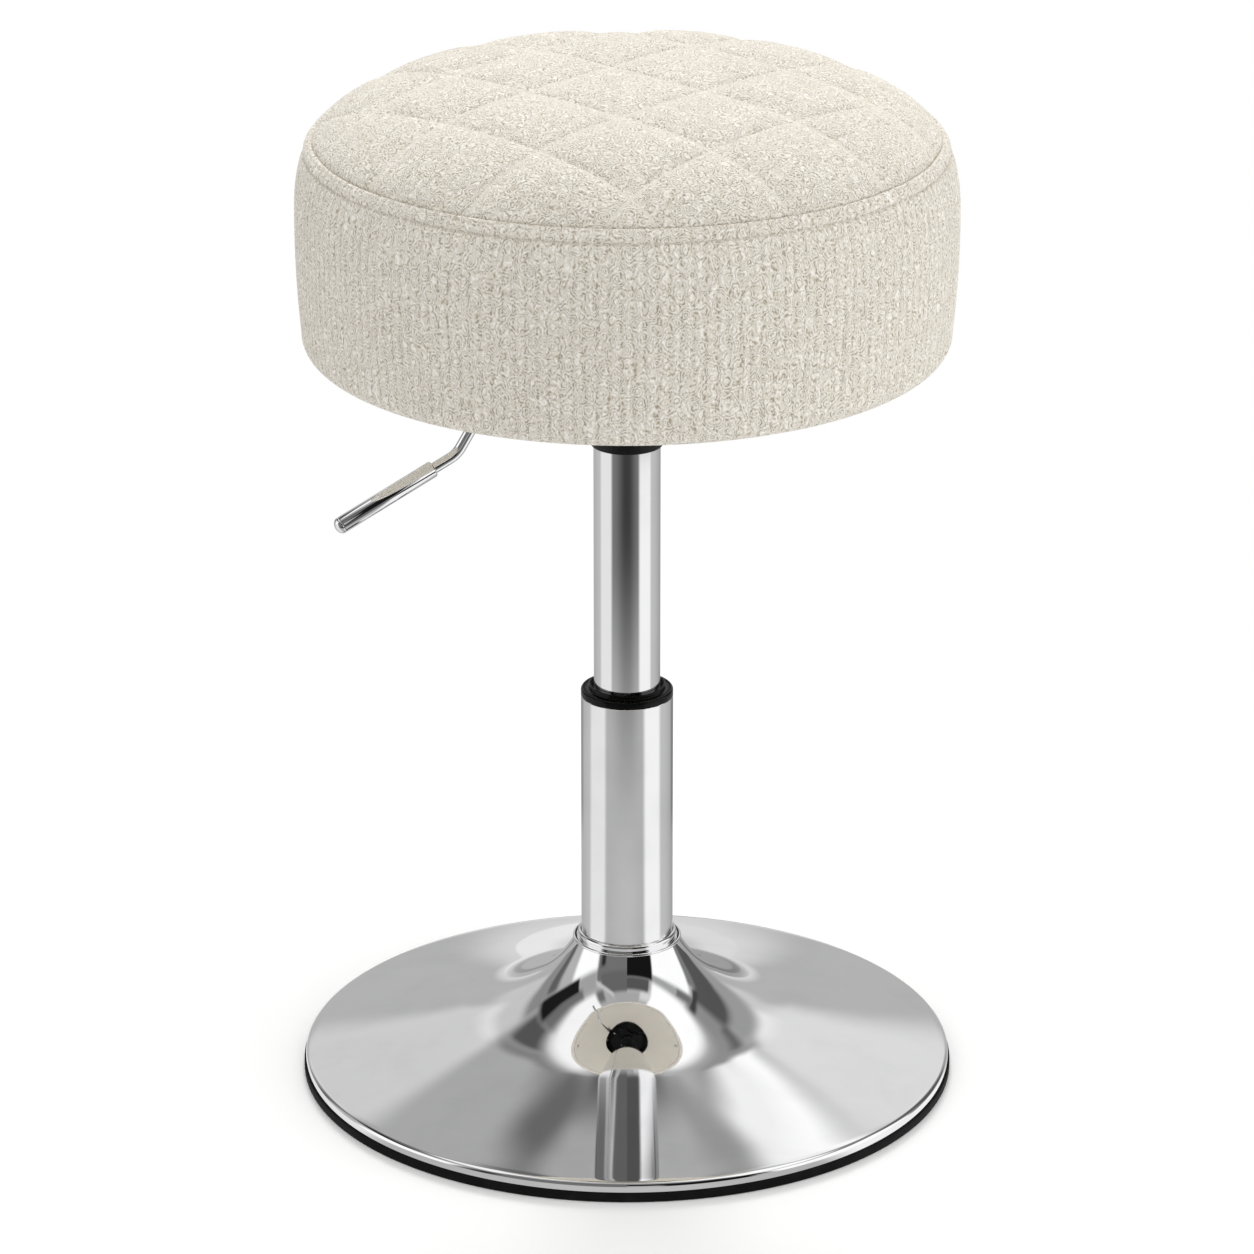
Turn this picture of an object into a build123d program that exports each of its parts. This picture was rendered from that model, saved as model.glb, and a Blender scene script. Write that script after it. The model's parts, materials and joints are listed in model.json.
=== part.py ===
"""Round bar stool with a quilted seat on a gas lift, in millimetres, +Z up, origin on the floor.

The chromed trumpet base stands on a rubber ring and carries a fixed column. Inside the column a
piston rod turns on a ball race, and the chromed lift tube slides on that rod with the seat on top.
A hand lever under the seat presses the valve pin of the gas spring.
"""

from build123d import *
import os
from math import cos, hypot, radians, sin, sqrt, tan

# Fits and clearances
RUN = 0.08               # radial clearance of a turning or sliding fit
FIT = 0.05               # radial clearance of a pressed, glued or threaded joint
SOFT_GAP = 0.3           # clearance round foam, fabric and rubber
HOLE_CLEARANCE = 0.2     # radial clearance of a screw in a plain hole

# Rubber floor ring
RUBBER_HEIGHT = 4.2
RUBBER_WIDTH = 20.0
RUBBER_PROUD = 1.0       # the rubber stands this far outside the chromed rim
RUBBER_ROUND = 1.0
SKIRT_HEIGHT = 1.5       # the rubber's skirt wraps the foot of the rim

# Chromed base shell: upright rim, shallow dish, bell, flare and a turned lip round the column
BASE_RADIUS = 192.5
BASE_SHEET = 1.5
RIM_HEIGHT = 7.0
RIM_ROUND = 3.0
RIM_SLOPE = 11.6         # the dish starts straight at the rim
RIM_FLAT = 12.0
DISH_SLOPE = 15.0        # where the dish meets the bell
BELL_RADIUS = 140.4
BELL_SLOPE = 35.0        # where the bell meets the flare
FLARE_RADIUS = 71.6
NECK_RADIUS = 31.2
NECK_SLOPE = 64.0
LIP_RADIUS = 32.2
LIP_HEIGHT = 1.8
LIP_ROUND = 0.7
NECK_RING_RADIUS = 29.4
NECK_RING_HEIGHT = 3.8
NECK_RING_ROUND = 1.0

# Weight plate in the base and the foot of the column, bolted together
PLATE_HEIGHT = 5.0
PLATE_EDGE_GAP = 1.0
PLATE_HOLE_RADIUS = 14.0
FOOT_RADIUS = 55.0
FOOT_HEIGHT = 6.0
FOOT_BOLT_COUNT = 4
FOOT_BOLT_CIRCLE_RADIUS = 42.0
FOOT_BOLT_RADIUS = 4.0
FOOT_HEAD_RADIUS = 7.6
FOOT_HEAD_HEIGHT = 3.6
FOOT_NUT_RADIUS = 7.5
FOOT_NUT_HEIGHT = 6.5

# Fixed column and its guide bush
COLUMN_RADIUS = 27.1
COLUMN_WALL = 2.0
COLUMN_TOP = 236.5
BUSH_LENGTH = 60.0
BUSH_FLANGE = 4.0
BUSH_COLLAR = 1.2
BUSH_COLLAR_RADIUS = 22.6
BUSH_ROUND = 1.4

# Ball race under the piston rod
RACE_RADIUS = 12.5
RACE_HEIGHT = 2.0
BALL_RADIUS = 2.0
BALL_CIRCLE = 8.8
BALL_COUNT = 9
BALL_SINK = 0.4          # depth of each race's groove
BALL_PLAY = 0.1
CAGE_HEIGHT = 1.6
CAGE_WALL = 0.9          # cage left inside and outside its ball pockets

# Piston rod, clip and bump stop
ROD_RADIUS = 5.0
JOURNAL_RADIUS = 4.0
CLIP_RADIUS = 7.5
CLIP_HEIGHT = 1.2
CLIP_GROOVE = 0.8
CLIP_GAP = 0.2
JOURNAL_TAIL = 1.8
BUMP_RADIUS = 12.0
BUMP_HEIGHT = 13.0

# Gas spring
LIFT_STROKE = 135.0
STOP_GAP = 1.0
LIFT_RADIUS = 19.5
LIFT_WALL = 1.8
PRESSURE_RADIUS = 14.0
PRESSURE_WALL = 1.5
SPACER_HEIGHT = 12.0
ROD_GUIDE_HEIGHT = 10.0
ROD_SEAL_HEIGHT = 4.0
PISTON_REST_GAP = 0.8
PISTON_HEIGHT = 14.0
PISTON_SEAL_HEIGHT = 4.0
PISTON_SEAL_DEPTH = 2.0
PISTON_STUD_RADIUS = 3.5
PISTON_NUT_RADIUS = 6.4
PISTON_NUT_HEIGHT = 5.0
HEAD_PLUG_HEIGHT = 18.0
HEAD_SPIGOT_HEIGHT = 10.0
TAPER_RADIUS = 14.2
TAPER_LENGTH = 61.0
TAPER_RATE = 0.025       # radius lost per millimetre of height
VALVE_RADIUS = 2.4
VALVE_TAIL = 4.0
BUTTON_RADIUS = 3.4
BUTTON_LIFT = 4.0        # the button's underside above the taper, more than its travel

# Seat: heights from the underside, radii of the barrel side and of the quilted crown
SEAT_BOTTOM = 451.0
SEAT_SIDE = 124.0
CROWN_RISE = 35.0
CROWN_FLAT_RADIUS = 100.0
CROWN_FLAT_DROP = 2.1
BELLY_RADIUS = 189.2
BELLY_HEIGHT = 73.0
SHOULDER_INSET = 2.0     # each inset is measured in from the belly
SHOULDER_HEIGHT = 105.0
SEAM_INSET = 9.0
HEM_INSET = 2.8
HEM_ROUND = 12.0
HEM_TURN = 4.5           # band turned in under the seat
BAND = 2.5
TOP_PAD = 9.0            # quilted top with its wadding

# Diamond quilting: two families of parallel channels across the crown
QUILT_SPACING = 69.0
QUILT_ANGLES = (45.8, 137.5)
QUILT_PHASES = (20.4, 27.0)
QUILT_DEPTHS = (5.0, 4.6)
QUILT_RADIUS = 9.0
QUILT_EDGE_DEPTH = 0.6   # the channels run out to this depth at the seam
QUILT_MARGIN = 27.0      # no channel runs closer to the seam than this

# Wooden seat frame
PANEL = 3.0
PANEL_GAP = 0.6
PANEL_OPENING = 68.0     # radius of the panel's opening under the seat plate
FRAME_HEIGHT = 32.0
FRAME_INSET = 17.2       # measured in from the belly, as the board's is
FRAME_WIDTH = 26.0
BOARD = 12.0
BOARD_INSET = 15.2
FRAME_SCREW_COUNT = 6
FRAME_SCREW_RADIUS = 2.0
FRAME_SCREW_HEAD = 4.0
FRAME_SCREW_HEAD_HEIGHT = 2.5
FRAME_SCREW_BITE = 8.0
PANEL_SCREW_RADIUS = 1.5
PANEL_SCREW_HEAD = 3.5
PANEL_SCREW_HEAD_HEIGHT = 1.8
PANEL_SCREW_BITE = 12.0

# Pressed seat plate with its socket
PLATE_SHEET = 2.5
PAN_DEPTH = 26.0
PAN_HALF_LENGTH = 45.0
PAN_HALF_WIDTH = 30.0
PAN_ROUND = 8.0
FLANGE_LENGTH = 150.0
FLANGE_WIDTH = 150.0
SEAT_BOLT_LENGTHWISE = 120.0
SEAT_BOLT_CROSSWISE = 84.0
SEAT_BOLT_RADIUS = 3.0
SEAT_BOLT_HEAD = 5.8
SEAT_BOLT_HEAD_HEIGHT = 4.0
WASHER_RADIUS = 6.4
WASHER_HEIGHT = 1.2
TEE_NUT_BARREL = 4.0
TEE_NUT_FLANGE = 9.0
TEE_NUT_SHEET = 1.5
SOCKET_RADIUS = 21.0
SOCKET_DROP = 59.7       # socket below the seat's underside
SOCKET_LAP = 6.0         # lift tube covered by the socket's mouth
SOCKET_TOP_HOLE = 11.0

# Hand lever, drawn along +X and then turned to its place
LEVER_TURN = 202.4
LEVER_RADIUS = 3.25
PIVOT_REACH = 34.0
PIVOT_RISE = 9.5         # pivot above the pan's floor
PIVOT_BLOCK_LENGTH = 14.0
PIVOT_BLOCK_WIDTH = 12.0
PIVOT_BLOCK_HEIGHT = 12.0
PIVOT_PIN_RADIUS = 2.5
PIVOT_EAR = 2.5
PIVOT_EAR_RISE = 6.0
PIVOT_BASE = 2.0
PIVOT_SIDE_GAP = 0.4
PIN_HEAD_RADIUS = 4.5
PIN_HEAD_HEIGHT = 2.0
PIN_TAIL = 3.0
PIN_CLIP_HEIGHT = 1.0
PADDLE_LENGTH = 18.0
PADDLE_WIDTH = 12.0
PADDLE_HEIGHT = 6.5
PADDLE_PAST = 8.0        # paddle past the stool's axis
PADDLE_GAP = 0.4         # paddle above the valve button at rest
ELBOW_REACH = 58.2
ELBOW_ROUND = 12.0
DROP_ANGLE = 57.4
DROP = 73.2
BEND_ROUND = 16.0
GRIP_ANGLE = 25.3
GRIP_START = 15.7
GRIP_LENGTH = 62.0
GRIP_RADIUS = 4.9
GRIP_ROUND = 1.0
GRIP_GROOVE = 0.5
GRIP_CAP_LENGTH = 4.4
LEVER_TANG = 3.0         # rod end short of the grip's cap
LEVER_SLOT_HALF = 6.0
LEVER_SLOT_MARGIN = 6.0
LEVER_SLOT_TRAVEL = 5.0

# Heights and radii worked out from the sizes above
SEAM_RADIUS = BELLY_RADIUS - SEAM_INSET
SHOULDER_RADIUS = BELLY_RADIUS - SHOULDER_INSET
HEM_RADIUS = BELLY_RADIUS - HEM_INSET
BOARD_RADIUS = BELLY_RADIUS - BOARD_INSET
FRAME_OUTER = BELLY_RADIUS - FRAME_INSET
FRAME_INNER = FRAME_OUTER - FRAME_WIDTH
FRAME_SCREW_CIRCLE = (FRAME_OUTER + FRAME_INNER) / 2
PLATE_TOP = RUBBER_HEIGHT + PLATE_HEIGHT
FOOT_TOP = PLATE_TOP + FOOT_HEIGHT
BALL_HEIGHT = FOOT_TOP + RACE_HEIGHT + BALL_RADIUS - BALL_SINK
UPPER_RACE_BOTTOM = BALL_HEIGHT + BALL_RADIUS - BALL_SINK
UPPER_RACE_TOP = UPPER_RACE_BOTTOM + RACE_HEIGHT
BUMP_TOP = UPPER_RACE_TOP + BUMP_HEIGHT
LIFT_BOTTOM = BUMP_TOP + LIFT_STROKE + STOP_GAP
SOCKET_BOTTOM = SEAT_BOTTOM - SOCKET_DROP
LIFT_TOP = SOCKET_BOTTOM + SOCKET_LAP
TAPER_TOP = LIFT_TOP + TAPER_LENGTH
PRESSURE_TOP = LIFT_TOP - HEAD_PLUG_HEIGHT
FRAME_BOTTOM = SEAT_BOTTOM + PANEL
BOARD_BOTTOM = FRAME_BOTTOM + FRAME_HEIGHT
BOARD_TOP = BOARD_BOTTOM + BOARD
PAN_BOTTOM = BOARD_BOTTOM - PAN_DEPTH
PAN_FLOOR = PAN_BOTTOM + PLATE_SHEET
PIVOT_HEIGHT = PAN_FLOOR + PIVOT_RISE
SEAM_HEIGHT = SEAT_BOTTOM + SEAT_SIDE
BELLY_LEVEL = SEAT_BOTTOM + BELLY_HEIGHT
CROWN_TOP = SEAM_HEIGHT + CROWN_RISE
HEM_INNER = HEM_RADIUS - HEM_ROUND - HEM_TURN
LIFT_BORE = LIFT_RADIUS - LIFT_WALL
PRESSURE_BORE = PRESSURE_RADIUS - PRESSURE_WALL
COLUMN_BORE = COLUMN_RADIUS - COLUMN_WALL


# Small shared shapes

def ring(outer, inner, low, high):
    """Upright ring between two heights."""
    return Pos(0, 0, low) * extrude(Circle(outer) - Circle(inner), amount=high - low)


def disc(radius, low, high):
    """Upright round bar or disc between two heights."""
    return Pos(0, 0, low) * extrude(Circle(radius), amount=high - low)


def hexagon(radius, low, high):
    """Upright hexagon between two heights, radius to its corners."""
    return Pos(0, 0, low) * extrude(RegularPolygon(radius, 6), amount=high - low)


def turned(*corners):
    """Body of revolution about Z from (radius, height) corners."""
    return spun([Polyline(*[(r, 0, z) for r, z in corners], close=True)])


def spun(edges):
    """Body of revolution about Z from a closed set of edges in the XZ plane."""
    return revolve(make_face(edges), axis=Axis.Z)


def polar(shape, count, pitch, start=0.0):
    """Copies of a shape on a circle about Z."""
    return [place * shape for place in PolarLocations(pitch, count, start_angle=start)]


def countersunk(radius, head_radius, head_height, low, high, grow=0.0):
    """Countersunk screw with its head at the bottom; grow widens it into its own hole."""
    return turned(
        (0, low),
        (head_radius + grow, low),
        (radius + grow, low + head_height),
        (radius + grow, high),
        (0, high),
    )


# Base

def make_floor_ring():
    """Rubber ring that the stool stands on, with a skirt round the foot of the rim."""
    outer = BASE_RADIUS + RUBBER_PROUD
    body = ring(outer, outer - RUBBER_WIDTH, 0, RUBBER_HEIGHT)
    body += ring(outer, BASE_RADIUS + FIT, RUBBER_HEIGHT, RUBBER_HEIGHT + SKIRT_HEIGHT)
    lower_edge = body.edges().filter_by(GeomType.CIRCLE).group_by(Axis.Z)[0].sort_by(SortBy.RADIUS)[-1]
    return fillet(lower_edge, RUBBER_ROUND)


def make_base_shell():
    """Pressed trumpet: rim, dish, bell and flare, whose arcs turn the slope up to the neck, and the lip."""
    rim_slope, dish = radians(RIM_SLOPE), radians(DISH_SLOPE)
    bell, neck = radians(BELL_SLOPE), radians(NECK_SLOPE)
    corner = RUBBER_HEIGHT + RIM_HEIGHT
    flat_r = BASE_RADIUS - RIM_FLAT
    flare_r = NECK_RADIUS + FLARE_RADIUS * sin(neck)
    bell_r = flare_r + (BELL_RADIUS - FLARE_RADIUS) * sin(bell)
    foot_r = bell_r - BELL_RADIUS * sin(dish)
    dish_radius = (flat_r - foot_r) / (sin(dish) - sin(rim_slope))
    dish_r = flat_r + dish_radius * sin(rim_slope)
    dish_z = corner + RIM_FLAT * tan(rim_slope) + dish_radius * cos(rim_slope)
    bell_z = dish_z - (dish_radius - BELL_RADIUS) * cos(dish)
    flare_z = bell_z - (BELL_RADIUS - FLARE_RADIUS) * cos(bell)

    def on_arc(centre_r, centre_z, radius, slope):
        """Point where an arc of the profile has a slope."""
        return (centre_r - radius * sin(slope), 0, centre_z - radius * cos(slope))

    def arc(centre_r, centre_z, radius, start, end):
        """Edge of the profile from one slope to another."""
        slopes = (start, (start + end) / 2, end)
        return ThreePointArc(*(on_arc(centre_r, centre_z, radius, slope) for slope in slopes))

    def rim_to_neck(inset):
        """Edges from the rim's foot to the neck on the surface that lies inset inside the chrome."""
        edge_r = BASE_RADIUS - inset
        edge_z = corner + inset * tan(rim_slope) - inset / cos(rim_slope)
        rim = FilletPolyline(
            (edge_r, 0, RUBBER_HEIGHT),
            (edge_r, 0, edge_z),
            on_arc(dish_r, dish_z, dish_radius + inset, rim_slope),
            radius=RIM_ROUND - inset,
        )
        return [
            rim,
            arc(dish_r, dish_z, dish_radius + inset, rim_slope, dish),
            arc(bell_r, bell_z, BELL_RADIUS + inset, dish, bell),
            arc(flare_r, flare_z, FLARE_RADIUS + inset, bell, neck),
        ]

    neck_top = on_arc(flare_r, flare_z, FLARE_RADIUS, neck)
    neck_under = on_arc(flare_r, flare_z, FLARE_RADIUS + BASE_SHEET, neck)
    lip_inner = COLUMN_RADIUS + SOFT_GAP
    lip_top = neck_top[2] + LIP_HEIGHT
    lip = FilletPolyline(
        neck_top,
        (LIP_RADIUS, 0, neck_top[2]),
        (LIP_RADIUS, 0, lip_top),
        (lip_inner, 0, lip_top),
        radius=LIP_ROUND,
    )
    collar = Polyline((lip_inner, 0, lip_top), (lip_inner, 0, neck_under[2]), neck_under)
    hem = Line((BASE_RADIUS, 0, RUBBER_HEIGHT), (BASE_RADIUS - BASE_SHEET, 0, RUBBER_HEIGHT))
    shell = spun([*rim_to_neck(0), lip, collar, *rim_to_neck(BASE_SHEET), hem])
    return shell, lip_top


def make_neck_ring(lip_top):
    """Chromed ring pressed on the column, holding the shell's lip down."""
    body = ring(NECK_RING_RADIUS, COLUMN_RADIUS + FIT, lip_top, lip_top + NECK_RING_HEIGHT)
    top_edge = body.edges().filter_by(GeomType.CIRCLE).group_by(Axis.Z)[-1].sort_by(SortBy.RADIUS)[-1]
    return fillet(top_edge, NECK_RING_ROUND)


def foot_screw(grow=0.0):
    """One countersunk screw from under the weight plate up through the column's foot."""
    top = FOOT_TOP + FOOT_NUT_HEIGHT
    return countersunk(
        FOOT_BOLT_RADIUS, FOOT_HEAD_RADIUS, FOOT_HEAD_HEIGHT, RUBBER_HEIGHT, top + grow, grow
    )


def foot_places(shape):
    """Copies of a shape at the foot's bolt circle."""
    return polar(shape, FOOT_BOLT_COUNT, FOOT_BOLT_CIRCLE_RADIUS, start=45.0)


def make_weight_plate():
    """Heavy steel disc inside the shell."""
    radius = BASE_RADIUS - BASE_SHEET - PLATE_EDGE_GAP
    body = ring(radius, PLATE_HOLE_RADIUS, RUBBER_HEIGHT, PLATE_TOP)
    return body - foot_places(foot_screw(HOLE_CLEARANCE))


def make_column_foot():
    """Disc welded under the column, with the bore that guides the rod's journal."""
    body = ring(FOOT_RADIUS, JOURNAL_RADIUS + RUN, PLATE_TOP, FOOT_TOP)
    return body - foot_places(foot_screw(HOLE_CLEARANCE))


def make_foot_nuts():
    """Hexagon nuts on the foot's screws."""
    nut = hexagon(FOOT_NUT_RADIUS, FOOT_TOP, FOOT_TOP + FOOT_NUT_HEIGHT)
    nut -= disc(FOOT_BOLT_RADIUS + FIT, FOOT_TOP, FOOT_TOP + FOOT_NUT_HEIGHT)
    return Compound(foot_places(nut))


def make_guide_bush():
    """Plastic sleeve in the column's mouth: flange on the rim, raised collar round the lift tube."""
    bore = LIFT_RADIUS + RUN
    flange_top = COLUMN_TOP + BUSH_FLANGE
    collar_top = flange_top + BUSH_COLLAR
    sleeve = COLUMN_BORE - FIT
    return turned(
        (bore, COLUMN_TOP - BUSH_LENGTH),
        (sleeve, COLUMN_TOP - BUSH_LENGTH),
        (sleeve, COLUMN_TOP),
        (COLUMN_RADIUS, COLUMN_TOP),
        (COLUMN_RADIUS, flange_top - BUSH_ROUND),
        (COLUMN_RADIUS - BUSH_ROUND, flange_top),
        (BUSH_COLLAR_RADIUS, flange_top),
        (BUSH_COLLAR_RADIUS, collar_top),
        (bore, collar_top),
    )


# Ball race

def ball_track():
    """Ring that both races' grooves are cut with."""
    return Pos(0, 0, BALL_HEIGHT) * Torus(BALL_CIRCLE, BALL_RADIUS + BALL_PLAY)


def make_lower_race():
    """Grooved washer on the column's foot."""
    bore = JOURNAL_RADIUS + SOFT_GAP
    return ring(RACE_RADIUS, bore, FOOT_TOP, FOOT_TOP + RACE_HEIGHT) - ball_track()


def make_upper_race():
    """Grooved washer under the rod's shoulder."""
    return ring(RACE_RADIUS, JOURNAL_RADIUS + FIT, UPPER_RACE_BOTTOM, UPPER_RACE_TOP) - ball_track()


def make_balls():
    """Steel balls of the race."""
    return Compound(polar(Pos(0, 0, BALL_HEIGHT) * Sphere(BALL_RADIUS), BALL_COUNT, BALL_CIRCLE))


def make_cage():
    """Plastic ring that spaces the balls."""
    pocket = BALL_RADIUS + BALL_PLAY
    outer = BALL_CIRCLE + pocket + CAGE_WALL
    inner = BALL_CIRCLE - pocket - CAGE_WALL
    low = BALL_HEIGHT - CAGE_HEIGHT / 2
    high = BALL_HEIGHT + CAGE_HEIGHT / 2
    return ring(outer, inner, low, high) - polar(disc(pocket, low, high), BALL_COUNT, BALL_CIRCLE)


# Piston rod and gas spring

CLIP_TOP = PLATE_TOP - CLIP_GAP
CLIP_BOTTOM = CLIP_TOP - CLIP_HEIGHT
ROD_GUIDE_TOP = LIFT_BOTTOM + ROD_GUIDE_HEIGHT
PISTON_BOTTOM = ROD_GUIDE_TOP + ROD_SEAL_HEIGHT + PISTON_REST_GAP
PISTON_TOP = PISTON_BOTTOM + PISTON_HEIGHT
PISTON_NUT_TOP = PISTON_TOP + PISTON_NUT_HEIGHT
SEAL_LOW = PISTON_BOTTOM + (PISTON_HEIGHT - PISTON_SEAL_HEIGHT) / 2
SEAL_HIGH = SEAL_LOW + PISTON_SEAL_HEIGHT
PISTON_RADIUS = PRESSURE_BORE - RUN


def make_piston_rod():
    """Rod from the clip under the foot up to the stud that carries the piston."""
    groove = JOURNAL_RADIUS - CLIP_GROOVE
    return turned(
        (0, CLIP_BOTTOM - JOURNAL_TAIL),
        (JOURNAL_RADIUS, CLIP_BOTTOM - JOURNAL_TAIL),
        (JOURNAL_RADIUS, CLIP_BOTTOM),
        (groove, CLIP_BOTTOM),
        (groove, CLIP_TOP),
        (JOURNAL_RADIUS, CLIP_TOP),
        (JOURNAL_RADIUS, UPPER_RACE_TOP),
        (ROD_RADIUS, UPPER_RACE_TOP),
        (ROD_RADIUS, PISTON_BOTTOM),
        (PISTON_STUD_RADIUS, PISTON_BOTTOM),
        (PISTON_STUD_RADIUS, PISTON_NUT_TOP),
        (0, PISTON_NUT_TOP),
    )


def make_rod_clip():
    """Open ring in the journal's groove."""
    groove = JOURNAL_RADIUS - CLIP_GROOVE
    body = ring(CLIP_RADIUS, groove + FIT, CLIP_BOTTOM, CLIP_TOP)
    mouth = Pos(CLIP_RADIUS, 0, (CLIP_BOTTOM + CLIP_TOP) / 2) * Box(2 * CLIP_RADIUS, groove, CLIP_HEIGHT)
    return body - mouth


def make_piston():
    """Piston with the groove for its seal."""
    bore = PISTON_STUD_RADIUS + FIT
    floor = PISTON_RADIUS - PISTON_SEAL_DEPTH
    return ring(PISTON_RADIUS, bore, PISTON_BOTTOM, PISTON_TOP) - ring(
        PISTON_RADIUS + FIT, floor, SEAL_LOW, SEAL_HIGH
    )


def make_taper_head():
    """Plug in the tops of both tubes, with the taper that wedges in the seat's socket."""
    bore = VALVE_RADIUS + RUN
    spigot = PRESSURE_BORE - FIT
    plug = LIFT_BORE - FIT
    taper_end = TAPER_RADIUS - TAPER_RATE * TAPER_LENGTH
    return turned(
        (bore, PRESSURE_TOP - HEAD_SPIGOT_HEIGHT),
        (spigot, PRESSURE_TOP - HEAD_SPIGOT_HEIGHT),
        (spigot, PRESSURE_TOP),
        (plug, PRESSURE_TOP),
        (plug, LIFT_TOP),
        (TAPER_RADIUS, LIFT_TOP),
        (taper_end, TAPER_TOP),
        (bore, TAPER_TOP),
    )


def make_valve_pin():
    """Pin through the taper head, with the button that the lever presses."""
    tail = PRESSURE_TOP - HEAD_SPIGOT_HEIGHT - VALVE_TAIL
    button = PIVOT_HEIGHT - PADDLE_HEIGHT / 2 - PADDLE_GAP
    under = TAPER_TOP + BUTTON_LIFT
    return disc(VALVE_RADIUS, tail, button) + disc(BUTTON_RADIUS, under, button)


# Seat plate and socket

def lever_frame(shape):
    """Turn a shape drawn along +X to the lever's direction."""
    return Rot(0, 0, LEVER_TURN) * shape


def slab(length, width, low, high, corner):
    """Upright block with rounded corners, centred on the axis."""
    return Pos(0, 0, low) * extrude(RectangleRounded(length, width, corner), amount=high - low)


def seat_bolt_places(shape):
    """Copies of a shape at the four bolts of the seat plate, turned with the lever."""
    spots = GridLocations(SEAT_BOLT_LENGTHWISE, SEAT_BOLT_CROSSWISE, 2, 2)
    return [lever_frame(spot * shape) for spot in spots]


def make_socket():
    """Black hub: its mouth covers the lift tube's end and its bore takes the taper."""
    mouth = LIFT_RADIUS + SOFT_GAP
    mouth_top = LIFT_TOP + SOFT_GAP
    bore_low = TAPER_RADIUS + FIT - TAPER_RATE * SOFT_GAP
    bore_high = TAPER_RADIUS + FIT - TAPER_RATE * TAPER_LENGTH
    return turned(
        (mouth, SOCKET_BOTTOM),
        (SOCKET_RADIUS, SOCKET_BOTTOM),
        (SOCKET_RADIUS, PAN_FLOOR),
        (SOCKET_TOP_HOLE, PAN_FLOOR),
        (SOCKET_TOP_HOLE, TAPER_TOP),
        (bore_high, TAPER_TOP),
        (bore_low, mouth_top),
        (mouth, mouth_top),
    )


def make_seat_plate():
    """Pressed pan with a bolted flange, a hole for the socket and a slot for the lever."""
    outer_length = 2 * (PAN_HALF_LENGTH + PLATE_SHEET)
    outer_width = 2 * (PAN_HALF_WIDTH + PLATE_SHEET)
    plate = slab(outer_length, outer_width, PAN_BOTTOM, BOARD_BOTTOM, PAN_ROUND + PLATE_SHEET)
    plate += slab(FLANGE_LENGTH, FLANGE_WIDTH, BOARD_BOTTOM - PLATE_SHEET, BOARD_BOTTOM, PAN_ROUND)
    plate -= slab(2 * PAN_HALF_LENGTH, 2 * PAN_HALF_WIDTH, PAN_FLOOR, BOARD_BOTTOM, PAN_ROUND)
    plate -= disc(SOCKET_RADIUS + FIT, PAN_BOTTOM, PAN_FLOOR)
    slot_height = 2 * (LEVER_RADIUS + LEVER_SLOT_TRAVEL / 2)
    slot = Box(2 * PAN_ROUND, 2 * LEVER_SLOT_HALF, slot_height)
    plate -= Pos(PAN_HALF_LENGTH, 0, PIVOT_HEIGHT) * slot
    return lever_frame(plate) - seat_bolt_places(
        disc(SEAT_BOLT_RADIUS + HOLE_CLEARANCE, PAN_BOTTOM, BOARD_BOTTOM)
    )


def make_seat_bolts():
    """Hexagon bolts through the flange into the tee nuts."""
    washer_low = BOARD_BOTTOM - PLATE_SHEET - WASHER_HEIGHT
    bolt = hexagon(SEAT_BOLT_HEAD, washer_low - SEAT_BOLT_HEAD_HEIGHT, washer_low)
    bolt += disc(SEAT_BOLT_RADIUS, washer_low, BOARD_TOP - TEE_NUT_SHEET)
    washer = ring(WASHER_RADIUS, SEAT_BOLT_RADIUS + FIT, washer_low, washer_low + WASHER_HEIGHT)
    return Compound(seat_bolt_places(bolt)), Compound(seat_bolt_places(washer))


def tee_nut(grow=0.0):
    """One tee nut in the board: barrel from below, flange let into the top."""
    barrel = disc(TEE_NUT_BARREL + grow, BOARD_BOTTOM, BOARD_TOP)
    return barrel + disc(TEE_NUT_FLANGE + grow, BOARD_TOP - TEE_NUT_SHEET, BOARD_TOP)


def make_tee_nuts():
    """Tee nuts with their threaded bores."""
    return Compound(seat_bolt_places(tee_nut() - disc(SEAT_BOLT_RADIUS + FIT, BOARD_BOTTOM, BOARD_TOP)))


def make_pivot_bracket():
    """U-shaped bracket welded to the pan's floor, with two ears for the lever's pin."""
    ear_inner = PIVOT_BLOCK_WIDTH / 2 + PIVOT_SIDE_GAP
    ear_outer = ear_inner + PIVOT_EAR
    top = PIVOT_HEIGHT + PIVOT_EAR_RISE
    block = Pos(PIVOT_REACH, 0, (PAN_FLOOR + top) / 2) * Box(
        PIVOT_BLOCK_LENGTH, 2 * ear_outer, top - PAN_FLOOR
    )
    gap = Pos(PIVOT_REACH, 0, (PAN_FLOOR + PIVOT_BASE + top) / 2) * Box(
        PIVOT_BLOCK_LENGTH, 2 * ear_inner, top - PAN_FLOOR - PIVOT_BASE
    )
    return lever_frame(block - gap - pivot_bar(PIVOT_PIN_RADIUS + FIT, -ear_outer, ear_outer))


def pivot_bar(radius, start, end):
    """Round bar along the pivot, from one side of the lever to the other."""
    bar = extrude(Circle(radius), amount=end - start)
    return Pos(PIVOT_REACH, start, PIVOT_HEIGHT) * (Rot(-90, 0, 0) * bar)


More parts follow.
